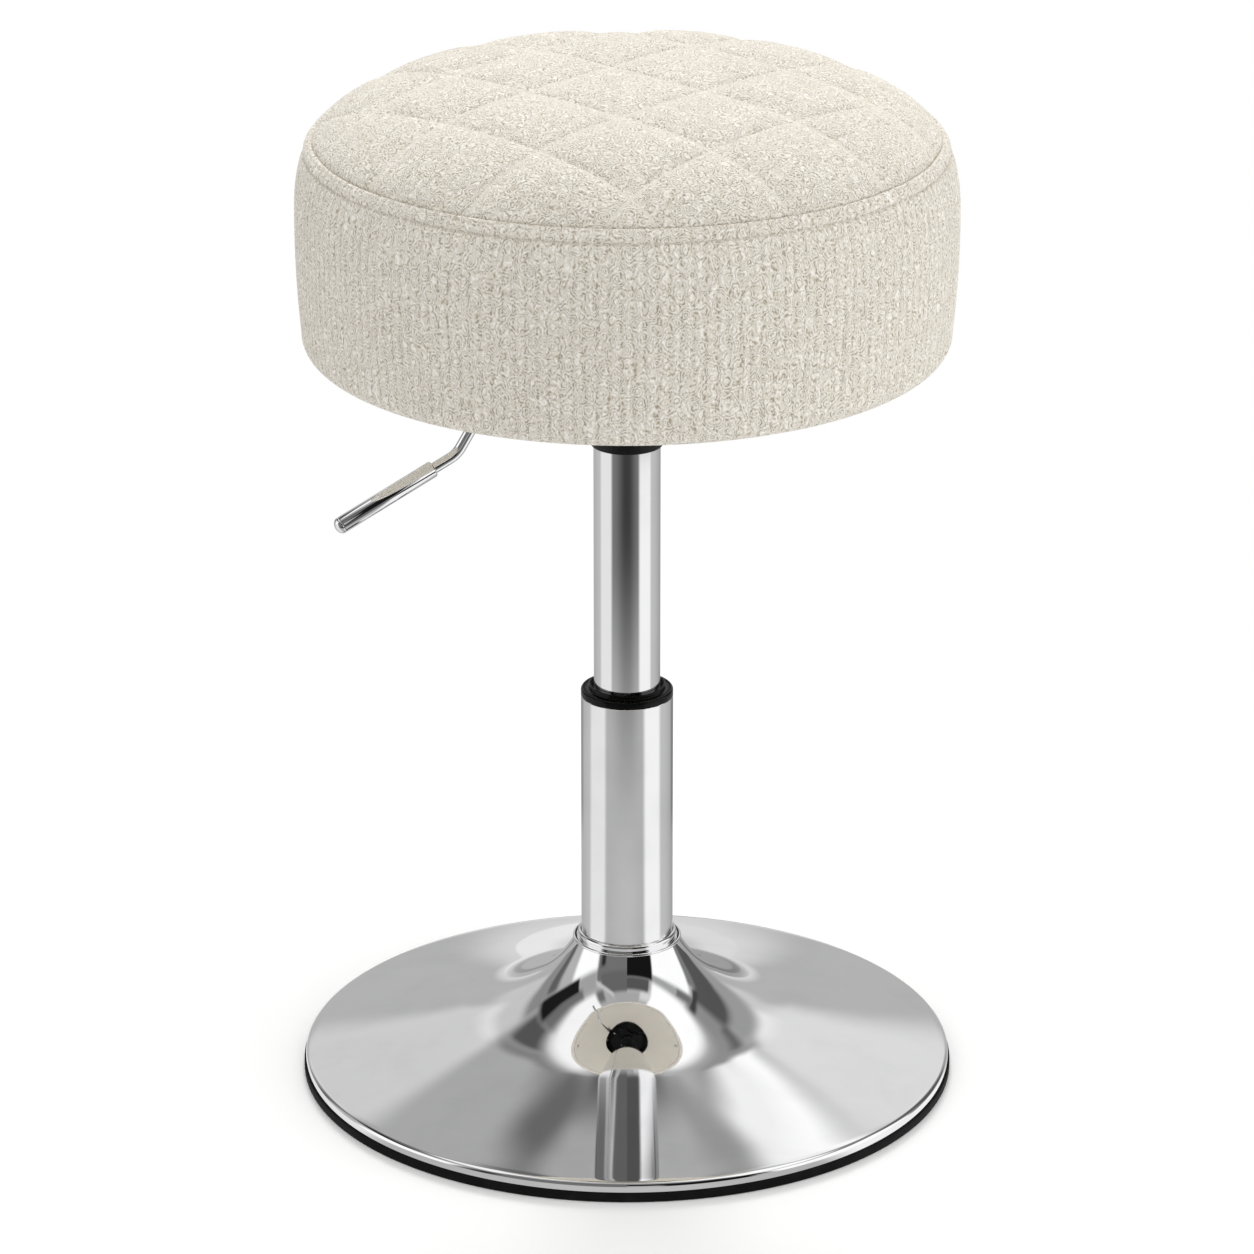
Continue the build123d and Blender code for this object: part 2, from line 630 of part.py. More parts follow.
def make_pivot_pin():
    """Headed pin through the bracket and the lever, and the clip on its tail."""
    ear_outer = PIVOT_BLOCK_WIDTH / 2 + PIVOT_SIDE_GAP + PIVOT_EAR
    pin = pivot_bar(PIVOT_PIN_RADIUS, -ear_outer, ear_outer + PIN_TAIL)
    pin += pivot_bar(PIN_HEAD_RADIUS, -ear_outer - PIN_HEAD_HEIGHT, -ear_outer)
    clip = pivot_bar(PIN_HEAD_RADIUS, ear_outer, ear_outer + PIN_CLIP_HEIGHT)
    clip -= pivot_bar(PIVOT_PIN_RADIUS + FIT, ear_outer, ear_outer + PIN_CLIP_HEIGHT)
    return lever_frame(pin), lever_frame(clip)


# Hand lever

BEND_REACH = ELBOW_REACH + DROP / tan(radians(DROP_ANGLE))
BEND_HEIGHT = PIVOT_HEIGHT - DROP
GRIP_WAY = Vector(cos(radians(GRIP_ANGLE)), 0, -sin(radians(GRIP_ANGLE)))
BEND = Vector(BEND_REACH, 0, BEND_HEIGHT)


def make_lever_rod():
    """Bent rod with the pivot block and the flat paddle over the valve button."""
    rod_end = BEND + GRIP_WAY * (GRIP_START + GRIP_LENGTH - LEVER_TANG)
    path = FilletPolyline(
        (0, 0, PIVOT_HEIGHT),
        (ELBOW_REACH, 0, PIVOT_HEIGHT),
        BEND,
        rod_end,
        radius=[ELBOW_ROUND, BEND_ROUND],
    )
    rod = sweep(Plane(origin=path @ 0, z_dir=path % 0) * Circle(LEVER_RADIUS), path=path)
    paddle_middle = PADDLE_LENGTH / 2 - PADDLE_PAST
    paddle = Pos(paddle_middle, 0, PIVOT_HEIGHT) * Box(PADDLE_LENGTH, PADDLE_WIDTH, PADDLE_HEIGHT)
    block = Pos(PIVOT_REACH, 0, PIVOT_HEIGHT) * Box(
        PIVOT_BLOCK_LENGTH, PIVOT_BLOCK_WIDTH, PIVOT_BLOCK_HEIGHT
    )
    hole = pivot_bar(PIVOT_PIN_RADIUS + RUN, -PIVOT_BLOCK_WIDTH, PIVOT_BLOCK_WIDTH)
    return lever_frame(rod + paddle + block - hole)


def along_grip(shape, distance):
    """Place a shape drawn along +Z on the lever's outer run, at a distance past the bend."""
    return lever_frame(Plane(origin=BEND + GRIP_WAY * distance, z_dir=GRIP_WAY) * shape)


def make_lever_grip():
    """Chromed sleeve on the lever's end."""
    bore = LEVER_RADIUS + FIT
    sleeve = turned(
        (bore, 0),
        (GRIP_RADIUS - GRIP_ROUND, 0),
        (GRIP_RADIUS, GRIP_ROUND),
        (GRIP_RADIUS, GRIP_LENGTH - GRIP_GROOVE),
        (GRIP_RADIUS - GRIP_GROOVE, GRIP_LENGTH),
        (bore, GRIP_LENGTH),
    )
    return along_grip(sleeve, GRIP_START)


def make_grip_cap():
    """Domed plug that closes the sleeve."""
    rim = GRIP_RADIUS - GRIP_GROOVE
    shoulder = GRIP_GROOVE
    dome_start = (GRIP_RADIUS, 0, shoulder)
    dome_end = (0, 0, GRIP_CAP_LENGTH)
    dome = TangentArc(dome_end, dome_start, tangent=(1, 0, 0))
    plug = LEVER_RADIUS - FIT
    body = Polyline(
        dome_start, (rim, 0, 0), (plug, 0, 0), (plug, 0, -LEVER_TANG), (0, 0, -LEVER_TANG), dome_end
    )
    return along_grip(spun([dome, body]), GRIP_START + GRIP_LENGTH)


# Seat frame

def frame_screw(grow=0.0):
    """One countersunk wood screw up through the frame into the board."""
    return countersunk(
        FRAME_SCREW_RADIUS,
        FRAME_SCREW_HEAD,
        FRAME_SCREW_HEAD_HEIGHT,
        FRAME_BOTTOM,
        BOARD_BOTTOM + FRAME_SCREW_BITE + grow,
        grow,
    )


def frame_places(shape):
    """Copies of a shape at the frame's screws."""
    return polar(shape, FRAME_SCREW_COUNT, FRAME_SCREW_CIRCLE)


def panel_screw(grow=0.0):
    """One pan-head screw up through the underside panel into the frame."""
    head = disc(PANEL_SCREW_HEAD, SEAT_BOTTOM - PANEL_SCREW_HEAD_HEIGHT, SEAT_BOTTOM)
    shank = disc(PANEL_SCREW_RADIUS + grow, SEAT_BOTTOM, FRAME_BOTTOM + PANEL_SCREW_BITE + grow)
    return head + shank


def panel_places(shape):
    """Copies of a shape at the panel's screws, half way between the frame's."""
    return polar(shape, FRAME_SCREW_COUNT, FRAME_SCREW_CIRCLE, start=180.0 / FRAME_SCREW_COUNT)


def make_frame_ring():
    """Wooden ring round the mechanism."""
    body = ring(FRAME_OUTER, FRAME_INNER, FRAME_BOTTOM, BOARD_BOTTOM)
    return body - frame_places(frame_screw(HOLE_CLEARANCE)) - panel_places(panel_screw(HOLE_CLEARANCE))


def make_seat_board():
    """Plywood disc that carries the foam and the seat plate."""
    body = disc(BOARD_RADIUS, BOARD_BOTTOM, BOARD_TOP)
    return body - frame_places(frame_screw(HOLE_CLEARANCE)) - seat_bolt_places(tee_nut(FIT))


def make_underside_panel():
    """Covered panel that closes the underside, open under the seat plate and at the lever."""
    body = disc(HEM_INNER - PANEL_GAP, SEAT_BOTTOM, FRAME_BOTTOM)
    body -= disc(PANEL_OPENING, SEAT_BOTTOM, FRAME_BOTTOM)
    slope = tan(radians(DROP_ANGLE))
    far = ELBOW_REACH + (PIVOT_HEIGHT - SEAT_BOTTOM) / slope + LEVER_SLOT_MARGIN + LEVER_SLOT_TRAVEL
    slot = Pos(far / 2, 0, SEAT_BOTTOM + PANEL / 2) * Box(far, 2 * LEVER_SLOT_HALF, PANEL)
    return body - lever_frame(slot) - panel_places(panel_screw(HOLE_CLEARANCE))


# Upholstery

def side_edges(inset):
    """Barrel side from the underside to the seam, on the surface that lies inset inside the fabric."""
    corner = (HEM_RADIUS - HEM_ROUND, 0, SEAT_BOTTOM + inset)
    hem = (HEM_RADIUS - inset, 0, SEAT_BOTTOM + HEM_ROUND)
    belly = (BELLY_RADIUS - inset, 0, BELLY_LEVEL)
    shoulder = (SHOULDER_RADIUS - inset, 0, SEAT_BOTTOM + SHOULDER_HEIGHT)
    seam = (SEAM_RADIUS - inset, 0, SEAM_HEIGHT - SOFT_GAP)
    rise = TangentArc(belly, shoulder, tangent=(0, 0, 1))
    return [
        TangentArc(corner, hem, tangent=(1, 0, 0)),
        TangentArc(belly, hem, tangent=(0, 0, -1)),
        rise,
        TangentArc(shoulder, seam, tangent=rise % 1),
    ]


def crown_body(sink):
    """Solid under the crown: a nearly flat middle arc and a tangent shoulder arc, lowered by sink."""
    top = (0, 0, CROWN_TOP - sink)
    flat_end = (CROWN_FLAT_RADIUS, 0, CROWN_TOP - CROWN_FLAT_DROP - sink)
    seam = (SEAM_RADIUS, 0, SEAM_HEIGHT - sink)
    middle = TangentArc(top, flat_end, tangent=(1, 0, 0))
    shoulder = TangentArc(flat_end, seam, tangent=middle % 1)
    return spun([middle, shoulder, Polyline(seam, (0, 0, SEAM_HEIGHT - sink), top)])


def crown_arcs():
    """Radius of the middle arc, then radius and (radius, height) centre of the shoulder arc."""
    flat_arc = (CROWN_FLAT_RADIUS**2 + CROWN_FLAT_DROP**2) / (2 * CROWN_FLAT_DROP)
    slope_sin = CROWN_FLAT_RADIUS / flat_arc
    slope_cos = sqrt(1 - slope_sin**2)
    run = SEAM_RADIUS - CROWN_FLAT_RADIUS
    fall = CROWN_RISE - CROWN_FLAT_DROP
    shoulder = (run**2 + fall**2) / (2 * (fall * slope_cos - run * slope_sin))
    centre_r = CROWN_FLAT_RADIUS - shoulder * slope_sin
    centre_z = CROWN_TOP - CROWN_FLAT_DROP - shoulder * slope_cos
    return flat_arc, shoulder, centre_r, centre_z


def crown_height(radius):
    """Height of the crown's surface at a radius."""
    flat_arc, shoulder, centre_r, centre_z = crown_arcs()
    if radius <= CROWN_FLAT_RADIUS:
        return CROWN_TOP - flat_arc + sqrt(flat_arc**2 - radius**2)
    return centre_z + sqrt(shoulder**2 - (radius - centre_r)**2)


def quilt_channel(offset, angle, depth):
    """Round cutter along one channel: a middle arc over the crown and a tangent arc down to each end.

    The ends stand off the seam along the crown's slope there, so that each channel fades out.
    """
    _, shoulder, centre_r, centre_z = crown_arcs()
    half = sqrt(SEAM_RADIUS**2 - offset**2)
    stand_off = (QUILT_RADIUS - QUILT_EDGE_DEPTH) / shoulder
    end = half * (1 + stand_off * (SEAM_RADIUS - centre_r) / SEAM_RADIUS)
    end_height = SEAM_HEIGHT + stand_off * (SEAM_HEIGHT - centre_z)
    bend = half * CROWN_FLAT_RADIUS / SEAM_RADIUS
    lift = QUILT_RADIUS - depth
    middle = (0, offset, crown_height(abs(offset)) + lift)
    bend_height = crown_height(hypot(bend, offset)) + lift
    over = ThreePointArc((-bend, offset, bend_height), middle, (bend, offset, bend_height))
    fall_right = TangentArc(over @ 1, (end, offset, end_height), tangent=over % 1)
    fall_left = TangentArc(over @ 0, (-end, offset, end_height), tangent=(over % 0) * -1)
    runs = [Wire([fall_left]), Wire([over]), Wire([fall_right])]
    pieces = [sweep(Plane(origin=w @ 0, z_dir=w % 0) * Circle(QUILT_RADIUS), path=w) for w in runs]
    return [Rot(0, 0, angle - 90) * piece for piece in pieces]


def quilt_channels():
    """All channels of both families that cross the crown well inside the seam."""
    cutters = []
    limit = SEAM_RADIUS - QUILT_MARGIN
    for angle, phase, depth in zip(QUILT_ANGLES, QUILT_PHASES, QUILT_DEPTHS):
        count = int(2 * SEAM_RADIUS / QUILT_SPACING) + 1
        for step in range(-count, count + 1):
            offset = phase + step * QUILT_SPACING
            if abs(offset) < limit:
                cutters += quilt_channel(offset, angle, depth)
    return cutters


def make_top_cover():
    """Quilted top panel, its wadding and its channels."""
    return crown_body(0) - crown_body(TOP_PAD) - quilt_channels()


def make_side_band():
    """Side band of the cover with its hem turned under."""
    hem_outer = Line((HEM_INNER, 0, SEAT_BOTTOM), (HEM_RADIUS - HEM_ROUND, 0, SEAT_BOTTOM))
    hem_end = Line((HEM_INNER, 0, SEAT_BOTTOM), (HEM_INNER, 0, SEAT_BOTTOM + BAND))
    hem_inner = Line(
        (HEM_INNER, 0, SEAT_BOTTOM + BAND), (HEM_RADIUS - HEM_ROUND, 0, SEAT_BOTTOM + BAND)
    )
    top = SEAM_HEIGHT - SOFT_GAP
    seam = Line((SEAM_RADIUS, 0, top), (SEAM_RADIUS - BAND, 0, top))
    return spun([hem_outer, *side_edges(0), seam, *side_edges(BAND), hem_inner, hem_end])


def foam_drum():
    """Solid inside the side band, clear of it all round."""
    inset = BAND + SOFT_GAP
    low = SEAT_BOTTOM + inset
    middle = Polyline(
        (SEAM_RADIUS - inset, 0, SEAM_HEIGHT - SOFT_GAP),
        (0, 0, SEAM_HEIGHT - SOFT_GAP),
        (0, 0, low),
        (HEM_RADIUS - HEM_ROUND, 0, low),
    )
    return spun([*side_edges(inset), middle])


def make_foam():
    """Moulded foam on the board, crowned under the quilted top."""
    sink = TOP_PAD + SOFT_GAP
    drum = foam_drum() & disc(BELLY_RADIUS, BOARD_TOP + SOFT_GAP, SEAM_HEIGHT - sink)
    return drum + crown_body(sink)


def make_edge_foam():
    """Foam strip wrapped round the board and the wooden frame."""
    return foam_drum() & ring(BELLY_RADIUS, BOARD_RADIUS + SOFT_GAP, SEAT_BOTTOM, BOARD_TOP)


# Every node of the stool

def make_nodes():
    """Name each piece and make its solid."""
    shell, lip_top = make_base_shell()
    bolts, washers = make_seat_bolts()
    pin, pin_clip = make_pivot_pin()
    nodes = {
        "floor_ring": make_floor_ring(),
        "base_shell": shell,
        "neck_ring": make_neck_ring(lip_top),
        "weight_plate": make_weight_plate(),
        "column_foot": make_column_foot(),
        "foot_screws": Compound(foot_places(foot_screw())),
        "foot_nuts": make_foot_nuts(),
        "column_tube": ring(COLUMN_RADIUS, COLUMN_BORE, FOOT_TOP, COLUMN_TOP),
        "guide_bush": make_guide_bush(),
        "lower_race": make_lower_race(),
        "bearing_balls": make_balls(),
        "bearing_cage": make_cage(),
        "upper_race": make_upper_race(),
        "piston_rod": make_piston_rod(),
        "rod_clip": make_rod_clip(),
        "bump_stop": ring(BUMP_RADIUS, ROD_RADIUS + SOFT_GAP, UPPER_RACE_TOP, BUMP_TOP),
        "piston": make_piston(),
        "piston_seal": ring(PISTON_RADIUS, PISTON_RADIUS - PISTON_SEAL_DEPTH + FIT, SEAL_LOW, SEAL_HIGH),
        "piston_nut": hexagon(PISTON_NUT_RADIUS, PISTON_TOP, PISTON_NUT_TOP)
        - disc(PISTON_STUD_RADIUS + FIT, PISTON_TOP, PISTON_NUT_TOP),
        "lift_tube": ring(LIFT_RADIUS, LIFT_BORE, LIFT_BOTTOM, LIFT_TOP),
        "pressure_tube": ring(PRESSURE_RADIUS, PRESSURE_BORE, LIFT_BOTTOM, PRESSURE_TOP),
        "spacer_ring": ring(
            LIFT_BORE - FIT, PRESSURE_RADIUS + FIT, LIFT_BOTTOM, LIFT_BOTTOM + SPACER_HEIGHT
        ),
        "rod_guide": ring(PRESSURE_BORE - FIT, ROD_RADIUS + RUN, LIFT_BOTTOM, ROD_GUIDE_TOP),
        "rod_seal": ring(
            PRESSURE_BORE - FIT, ROD_RADIUS + RUN, ROD_GUIDE_TOP, ROD_GUIDE_TOP + ROD_SEAL_HEIGHT
        ),
        "taper_head": make_taper_head(),
        "valve_pin": make_valve_pin(),
        "socket_hub": make_socket(),
        "seat_plate": make_seat_plate(),
        "seat_bolts": bolts,
        "seat_washers": washers,
        "tee_nuts": make_tee_nuts(),
        "pivot_bracket": make_pivot_bracket(),
        "pivot_pin": pin,
        "pin_clip": pin_clip,
        "lever_rod": make_lever_rod(),
        "lever_grip": make_lever_grip(),
        "grip_cap": make_grip_cap(),
        "frame_ring": make_frame_ring(),
        "frame_screws": Compound(frame_places(frame_screw())),
        "seat_board": make_seat_board(),
        "underside_panel": make_underside_panel(),
        "panel_screws": Compound(panel_places(panel_screw())),
        "seat_foam": make_foam(),
        "edge_foam": make_edge_foam(),
        "seat_top_cover": make_top_cover(),
        "seat_side_band": make_side_band(),
    }
    return nodes


os.makedirs("parts", exist_ok=True)
for node, solid in make_nodes().items():
    export_step(solid, f"parts/{node}.step")
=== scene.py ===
"""A round bar stool, dressed: quilted looped-pile seat, chromed gas lift, hand lever and trumpet base."""

import json
import logging
import math
from dataclasses import dataclass
from enum import Enum
from typing import Any, Sequence

import bpy
import numpy as np
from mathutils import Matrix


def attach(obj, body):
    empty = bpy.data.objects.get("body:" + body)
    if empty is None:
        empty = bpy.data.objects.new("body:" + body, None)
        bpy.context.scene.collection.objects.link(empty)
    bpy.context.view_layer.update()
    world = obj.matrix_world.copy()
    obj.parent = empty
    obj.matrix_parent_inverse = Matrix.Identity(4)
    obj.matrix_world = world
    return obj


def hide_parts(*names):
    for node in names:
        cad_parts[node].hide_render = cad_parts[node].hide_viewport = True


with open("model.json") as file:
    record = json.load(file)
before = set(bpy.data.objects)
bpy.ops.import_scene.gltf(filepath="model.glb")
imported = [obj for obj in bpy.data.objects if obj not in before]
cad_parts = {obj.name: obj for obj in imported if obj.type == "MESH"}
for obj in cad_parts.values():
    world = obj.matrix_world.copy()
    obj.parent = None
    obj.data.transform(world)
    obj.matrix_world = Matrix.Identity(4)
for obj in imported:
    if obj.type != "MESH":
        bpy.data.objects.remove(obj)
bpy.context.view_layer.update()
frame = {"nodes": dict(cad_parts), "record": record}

LOG = logging.getLogger("stool")
MM = 0.001
Array = np.ndarray
Colour = tuple[float, float, float, float]
Place = tuple[float, float, float]
WALES = 180
DEGREES = 180.0 / math.pi


# Shader expressions

class Value:
    """A shader socket that Python's operators combine through Math nodes."""

    def __init__(self, shade: "Shade", socket: bpy.types.NodeSocket | None) -> None:
        """Keep the node tree and the socket, none for a node without outputs."""
        self.shade = shade
        self.socket = socket

    def out(self, name: str) -> "Value":
        """Another output of the same node."""
        return Value(self.shade, self.socket.node.outputs[name])

    def maths(self, operation: str, first: Any, second: Any = 0.0) -> "Value":
        """A Math node of two values, of which this is usually one."""
        return self.shade.node("ShaderNodeMath", {"operation": operation}, {0: first, 1: second})

    def __add__(self, other: Any) -> "Value":
        """This plus other."""
        return self.maths("ADD", self, other)

    def __radd__(self, other: Any) -> "Value":
        """Other plus this."""
        return self.maths("ADD", other, self)

    def __sub__(self, other: Any) -> "Value":
        """This minus other."""
        return self.maths("SUBTRACT", self, other)

    def __rsub__(self, other: Any) -> "Value":
        """Other minus this."""
        return self.maths("SUBTRACT", other, self)

    def __mul__(self, other: Any) -> "Value":
        """This times other."""
        return self.maths("MULTIPLY", self, other)

    def __rmul__(self, other: Any) -> "Value":
        """Other times this."""
        return self.maths("MULTIPLY", other, self)

    def __pow__(self, other: Any) -> "Value":
        """This to the power of other."""
        return self.maths("POWER", self, other)


class Shade:
    """One node tree while it is being written: a material's or the world's."""

    def __init__(self, tree: bpy.types.NodeTree) -> None:
        """Start from an empty tree."""
        self.tree = tree
        tree.nodes.clear()

    def node(
        self,
        kind: str,
        settings: dict[str, Any] | None = None,
        inputs: dict[int | str, Any] | None = None,
        output: int | str = 0,
    ) -> Value:
        """Add any node.

        Args:
            kind: The node's type.
            settings: Its own settings, set first.
            inputs: Values or links of its sockets, by name or number.
            output: The output to hand back.

        Returns:
            That output as a value.
        """
        made = self.tree.nodes.new(kind)
        for key, value in (settings or {}).items():
            setattr(made, key, value)
        for key, value in (inputs or {}).items():
            if isinstance(value, Value):
                self.tree.links.new(value.socket, made.inputs[key])
            else:
                made.inputs[key].default_value = value
        return Value(self, made.outputs[output] if made.outputs else None)

    def place(self, stretch: Place = (1.0, 1.0, 1.0)) -> Value:
        """Object coordinates in metres, stretched along the axes."""
        where = self.node("ShaderNodeTexCoord", output="Object")
        return self.node("ShaderNodeMapping", {}, {"Vector": where, "Scale": stretch})

    def noise(self, where: Value, scale: float, detail: float = 2.0, distortion: float = 0.0) -> Value:
        """Smooth noise from 0 to 1, with features about 1 / scale metres long."""
        inputs = {"Vector": where, "Scale": scale, "Detail": detail, "Distortion": distortion}
        return self.node("ShaderNodeTexNoise", {}, inputs)

    def ramp(self, value: Any, low: float, high: float, start: Any = 0.0, end: Any = 1.0) -> Value:
        """Smooth step of a value from low to high, mapped from start to end."""
        inputs = {"Value": value, "From Min": low, "From Max": high, "To Min": start, "To Max": end}
        return self.node("ShaderNodeMapRange", {"interpolation_type": "SMOOTHSTEP"}, inputs)

    def tint(self, factor: Any, first: Any, second: Any) -> Value:
        """Colour between two colours."""
        return self.node("ShaderNodeMix", {"data_type": "RGBA"}, {0: factor, 6: first, 7: second}, output=2)

    def bump(self, height: Value, distance: float, strength: float = 1.0) -> Value:
        """Normal of a surface raised by height times distance, in metres."""
        inputs = {"Height": height, "Distance": distance, "Strength": strength}
        return self.node("ShaderNodeBump", {}, inputs)

    def split(self, where: Value) -> Value:
        """X of a vector, on a node whose other outputs are Y and Z."""
        return self.node("ShaderNodeSeparateXYZ", {}, {0: where}, "X")

    def away(self, x: Value) -> Value:
        """Distance from the column's axis, of a split place."""
        y = x.out("Y")
        return (x * x + y * y) ** 0.5

    def between(self, value: Value, low: float, high: float, soft: float) -> Value:
        """One where a value lies between two bounds and none outside, over soft edges."""
        rise = self.ramp(value, low - soft, low + soft)
        return rise * self.ramp(value, high - soft, high + soft, 1.0, 0.0)

    def blend(self, share: Value, first: Value, second: Value) -> Value:
        """Shader between two shaders."""
        return self.node("ShaderNodeMixShader", {}, {0: share, 1: first, 2: second})

    def mirrored(self) -> Value:
        """Share of rays that mirrors and glass send out."""
        path = self.node("ShaderNodeLightPath", output="Is Glossy Ray")
        return path.maths("MAXIMUM", path, path.out("Is Transmission Ray"))

    def seen(self) -> Value:
        """Share of rays that the camera sends out."""
        return self.node("ShaderNodeLightPath", output="Is Camera Ray")

    def surface(self, **inputs: Any) -> Value:
        """The main shader; underscores in the names stand for spaces."""
        named = {key.replace("_", " "): value for key, value in inputs.items()}
        return self.node("ShaderNodeBsdfPrincipled", {}, named)


# Finishes

@dataclass(frozen=True)
class Finish:
    """A named finish that makes its material once."""

    name: str

    def material(self) -> bpy.types.Material:
        """Find or make the finish's material.

        Returns:
            The material, with the nodes that look writes.
        """
        found = bpy.data.materials.get(self.name)
        if found:
            return found
        made = bpy.data.materials.new(self.name)
        made.use_nodes = True
        shade = Shade(made.node_tree)
        shade.node("ShaderNodeOutputMaterial", {}, {"Surface": self.look(shade)})
        return made

    def look(self, shade: Shade) -> Value:
        """Write the shader."""
        raise NotImplementedError


@dataclass(frozen=True)
class Chrome(Finish):
    """Bright chrome plate: a mirror with a faint haze and the slightest waviness of its polish."""

    tint: Colour = (0.87, 0.87, 0.875, 1.0)
    dull: Colour = (0.83, 0.83, 0.84, 1.0)
    gloss: float = 0.025
    haze: float = 0.03

    def look(self, shade: Shade) -> Value:
        """Clouds of haze set the roughness and a little of the colour.

        Args:
            shade: The node tree to write in.

        Returns:
            The finished shader.
        """
        where = shade.place()
        cloud = shade.noise(where, 34.0, 3.0)
        rub = shade.noise(shade.place((1.0, 1.0, 0.08)), 900.0, 1.0)
        return shade.surface(
            Base_Color=shade.tint(shade.ramp(cloud, 0.4, 0.75), self.tint, self.dull),
            Metallic=1.0,
            Roughness=self.gloss + self.haze * shade.ramp(cloud, 0.35, 0.8) + 0.006 * rub,
            Normal=shade.bump(shade.noise(where, 26.0, 0.0), 0.0004, 0.05),
        )


@dataclass(frozen=True)
class Steel(Finish):
    """Plain or plated steel with fine working marks."""

    tint: Colour
    dark: Colour
    roughness: float = 0.34

    def look(self, shade: Shade) -> Value:
        """Marks drawn out along the height, over slow blotches.

        Args:
            shade: The node tree to write in.

        Returns:
            The finished shader.
        """
        marks = shade.noise(shade.place((1.0, 1.0, 0.06)), 1500.0, 2.0)
        blotch = shade.noise(shade.place(), 60.0, 3.0)
        return shade.surface(
            Base_Color=shade.tint(shade.ramp(0.6 * marks + 0.4 * blotch, 0.3, 0.7), self.dark, self.tint),
            Metallic=1.0,
            Roughness=self.roughness + 0.16 * (blotch - 0.5) + 0.1 * (marks - 0.5),
            Normal=shade.bump(marks, 0.00008, 0.5),
        )


@dataclass(frozen=True)
class Moulded(Finish):
    """Black plastic, rubber or paint: a dark coat with a fine grain and worn dusty clouds."""

    tint: Colour
    worn: Colour
    roughness: float
    grain: float
    shine: float = 0.5

    def look(self, shade: Shade) -> Value:
        """Fine grain in the bump, clouds in colour and roughness.

        Args:
            shade: The node tree to write in.

        Returns:
            The finished shader.
        """
        where = shade.place()
        cloud = shade.noise(where, 70.0, 4.0)
        grain = shade.noise(where, 1800.0, 2.0)
        return shade.surface(
            Base_Color=shade.tint(shade.ramp(cloud, 0.45, 0.8), self.tint, self.worn),
            Roughness=self.roughness + 0.14 * (cloud - 0.5),
            Specular_IOR_Level=self.shine,
            Normal=shade.bump(grain, 0.0002, self.grain),
        )


@dataclass(frozen=True)
class Plywood(Finish):
    """Raw birch ply: long grain on the faces, glue lines on the edge."""

    light: Colour = (0.66, 0.5, 0.33, 1.0)
    dark: Colour = (0.42, 0.28, 0.16, 1.0)

    def look(self, shade: Shade) -> Value:
        """Grain stretched along X, and plies that alternate with the height.

        Args:
            shade: The node tree to write in.

        Returns:
            The finished shader.
        """
        grain = shade.noise(shade.place((0.12, 1.0, 1.0)), 260.0, 5.0, 0.6)
        height = shade.split(shade.place()).out("Z")
        ply = height.maths("SINE", height * 3100.0)
        tone = shade.ramp(grain + 0.08 * ply, 0.3, 0.75)
        return shade.surface(
            Base_Color=shade.tint(tone, self.dark, self.light),
            Roughness=0.6 + 0.15 * grain,
            Normal=shade.bump(grain, 0.0003, 0.4),
        )


@dataclass(frozen=True)
class OpenFoam(Finish):
    """Cut foam with open cells."""

    light: Colour = (0.84, 0.77, 0.58, 1.0)
    dark: Colour = (0.62, 0.54, 0.36, 1.0)

    def look(self, shade: Shade) -> Value:
        """Cells from a cellular pattern.

        Args:
            shade: The node tree to write in.

        Returns:
            The finished shader.
        """
        cells = shade.node("ShaderNodeTexVoronoi", {}, {"Vector": shade.place(), "Scale": 700.0})
        return shade.surface(
            Base_Color=shade.tint(shade.ramp(cells, 0.1, 0.7), self.dark, self.light),
            Roughness=0.85 + 0.1 * cells,
            Normal=shade.bump(cells, 0.0006, 0.7),
        )


@dataclass(frozen=True)
class SewnLines:
    """Parallel sewn lines: their normal's bearing in degrees and their offsets in millimetres."""

    normal: float
    offsets: tuple[float, ...]


QUILTING = (
    SewnLines(45.8, (-115.9, -49.4, 20.5, 90.1, 159.0)),
    SewnLines(137.5, (-111.8, -41.7, 31.7, 91.8, 163.0)),
)


class Pile(Enum):
    """How the looped pile lies on a panel."""

    SWIRL = "swirl"
    WALE = "wale"


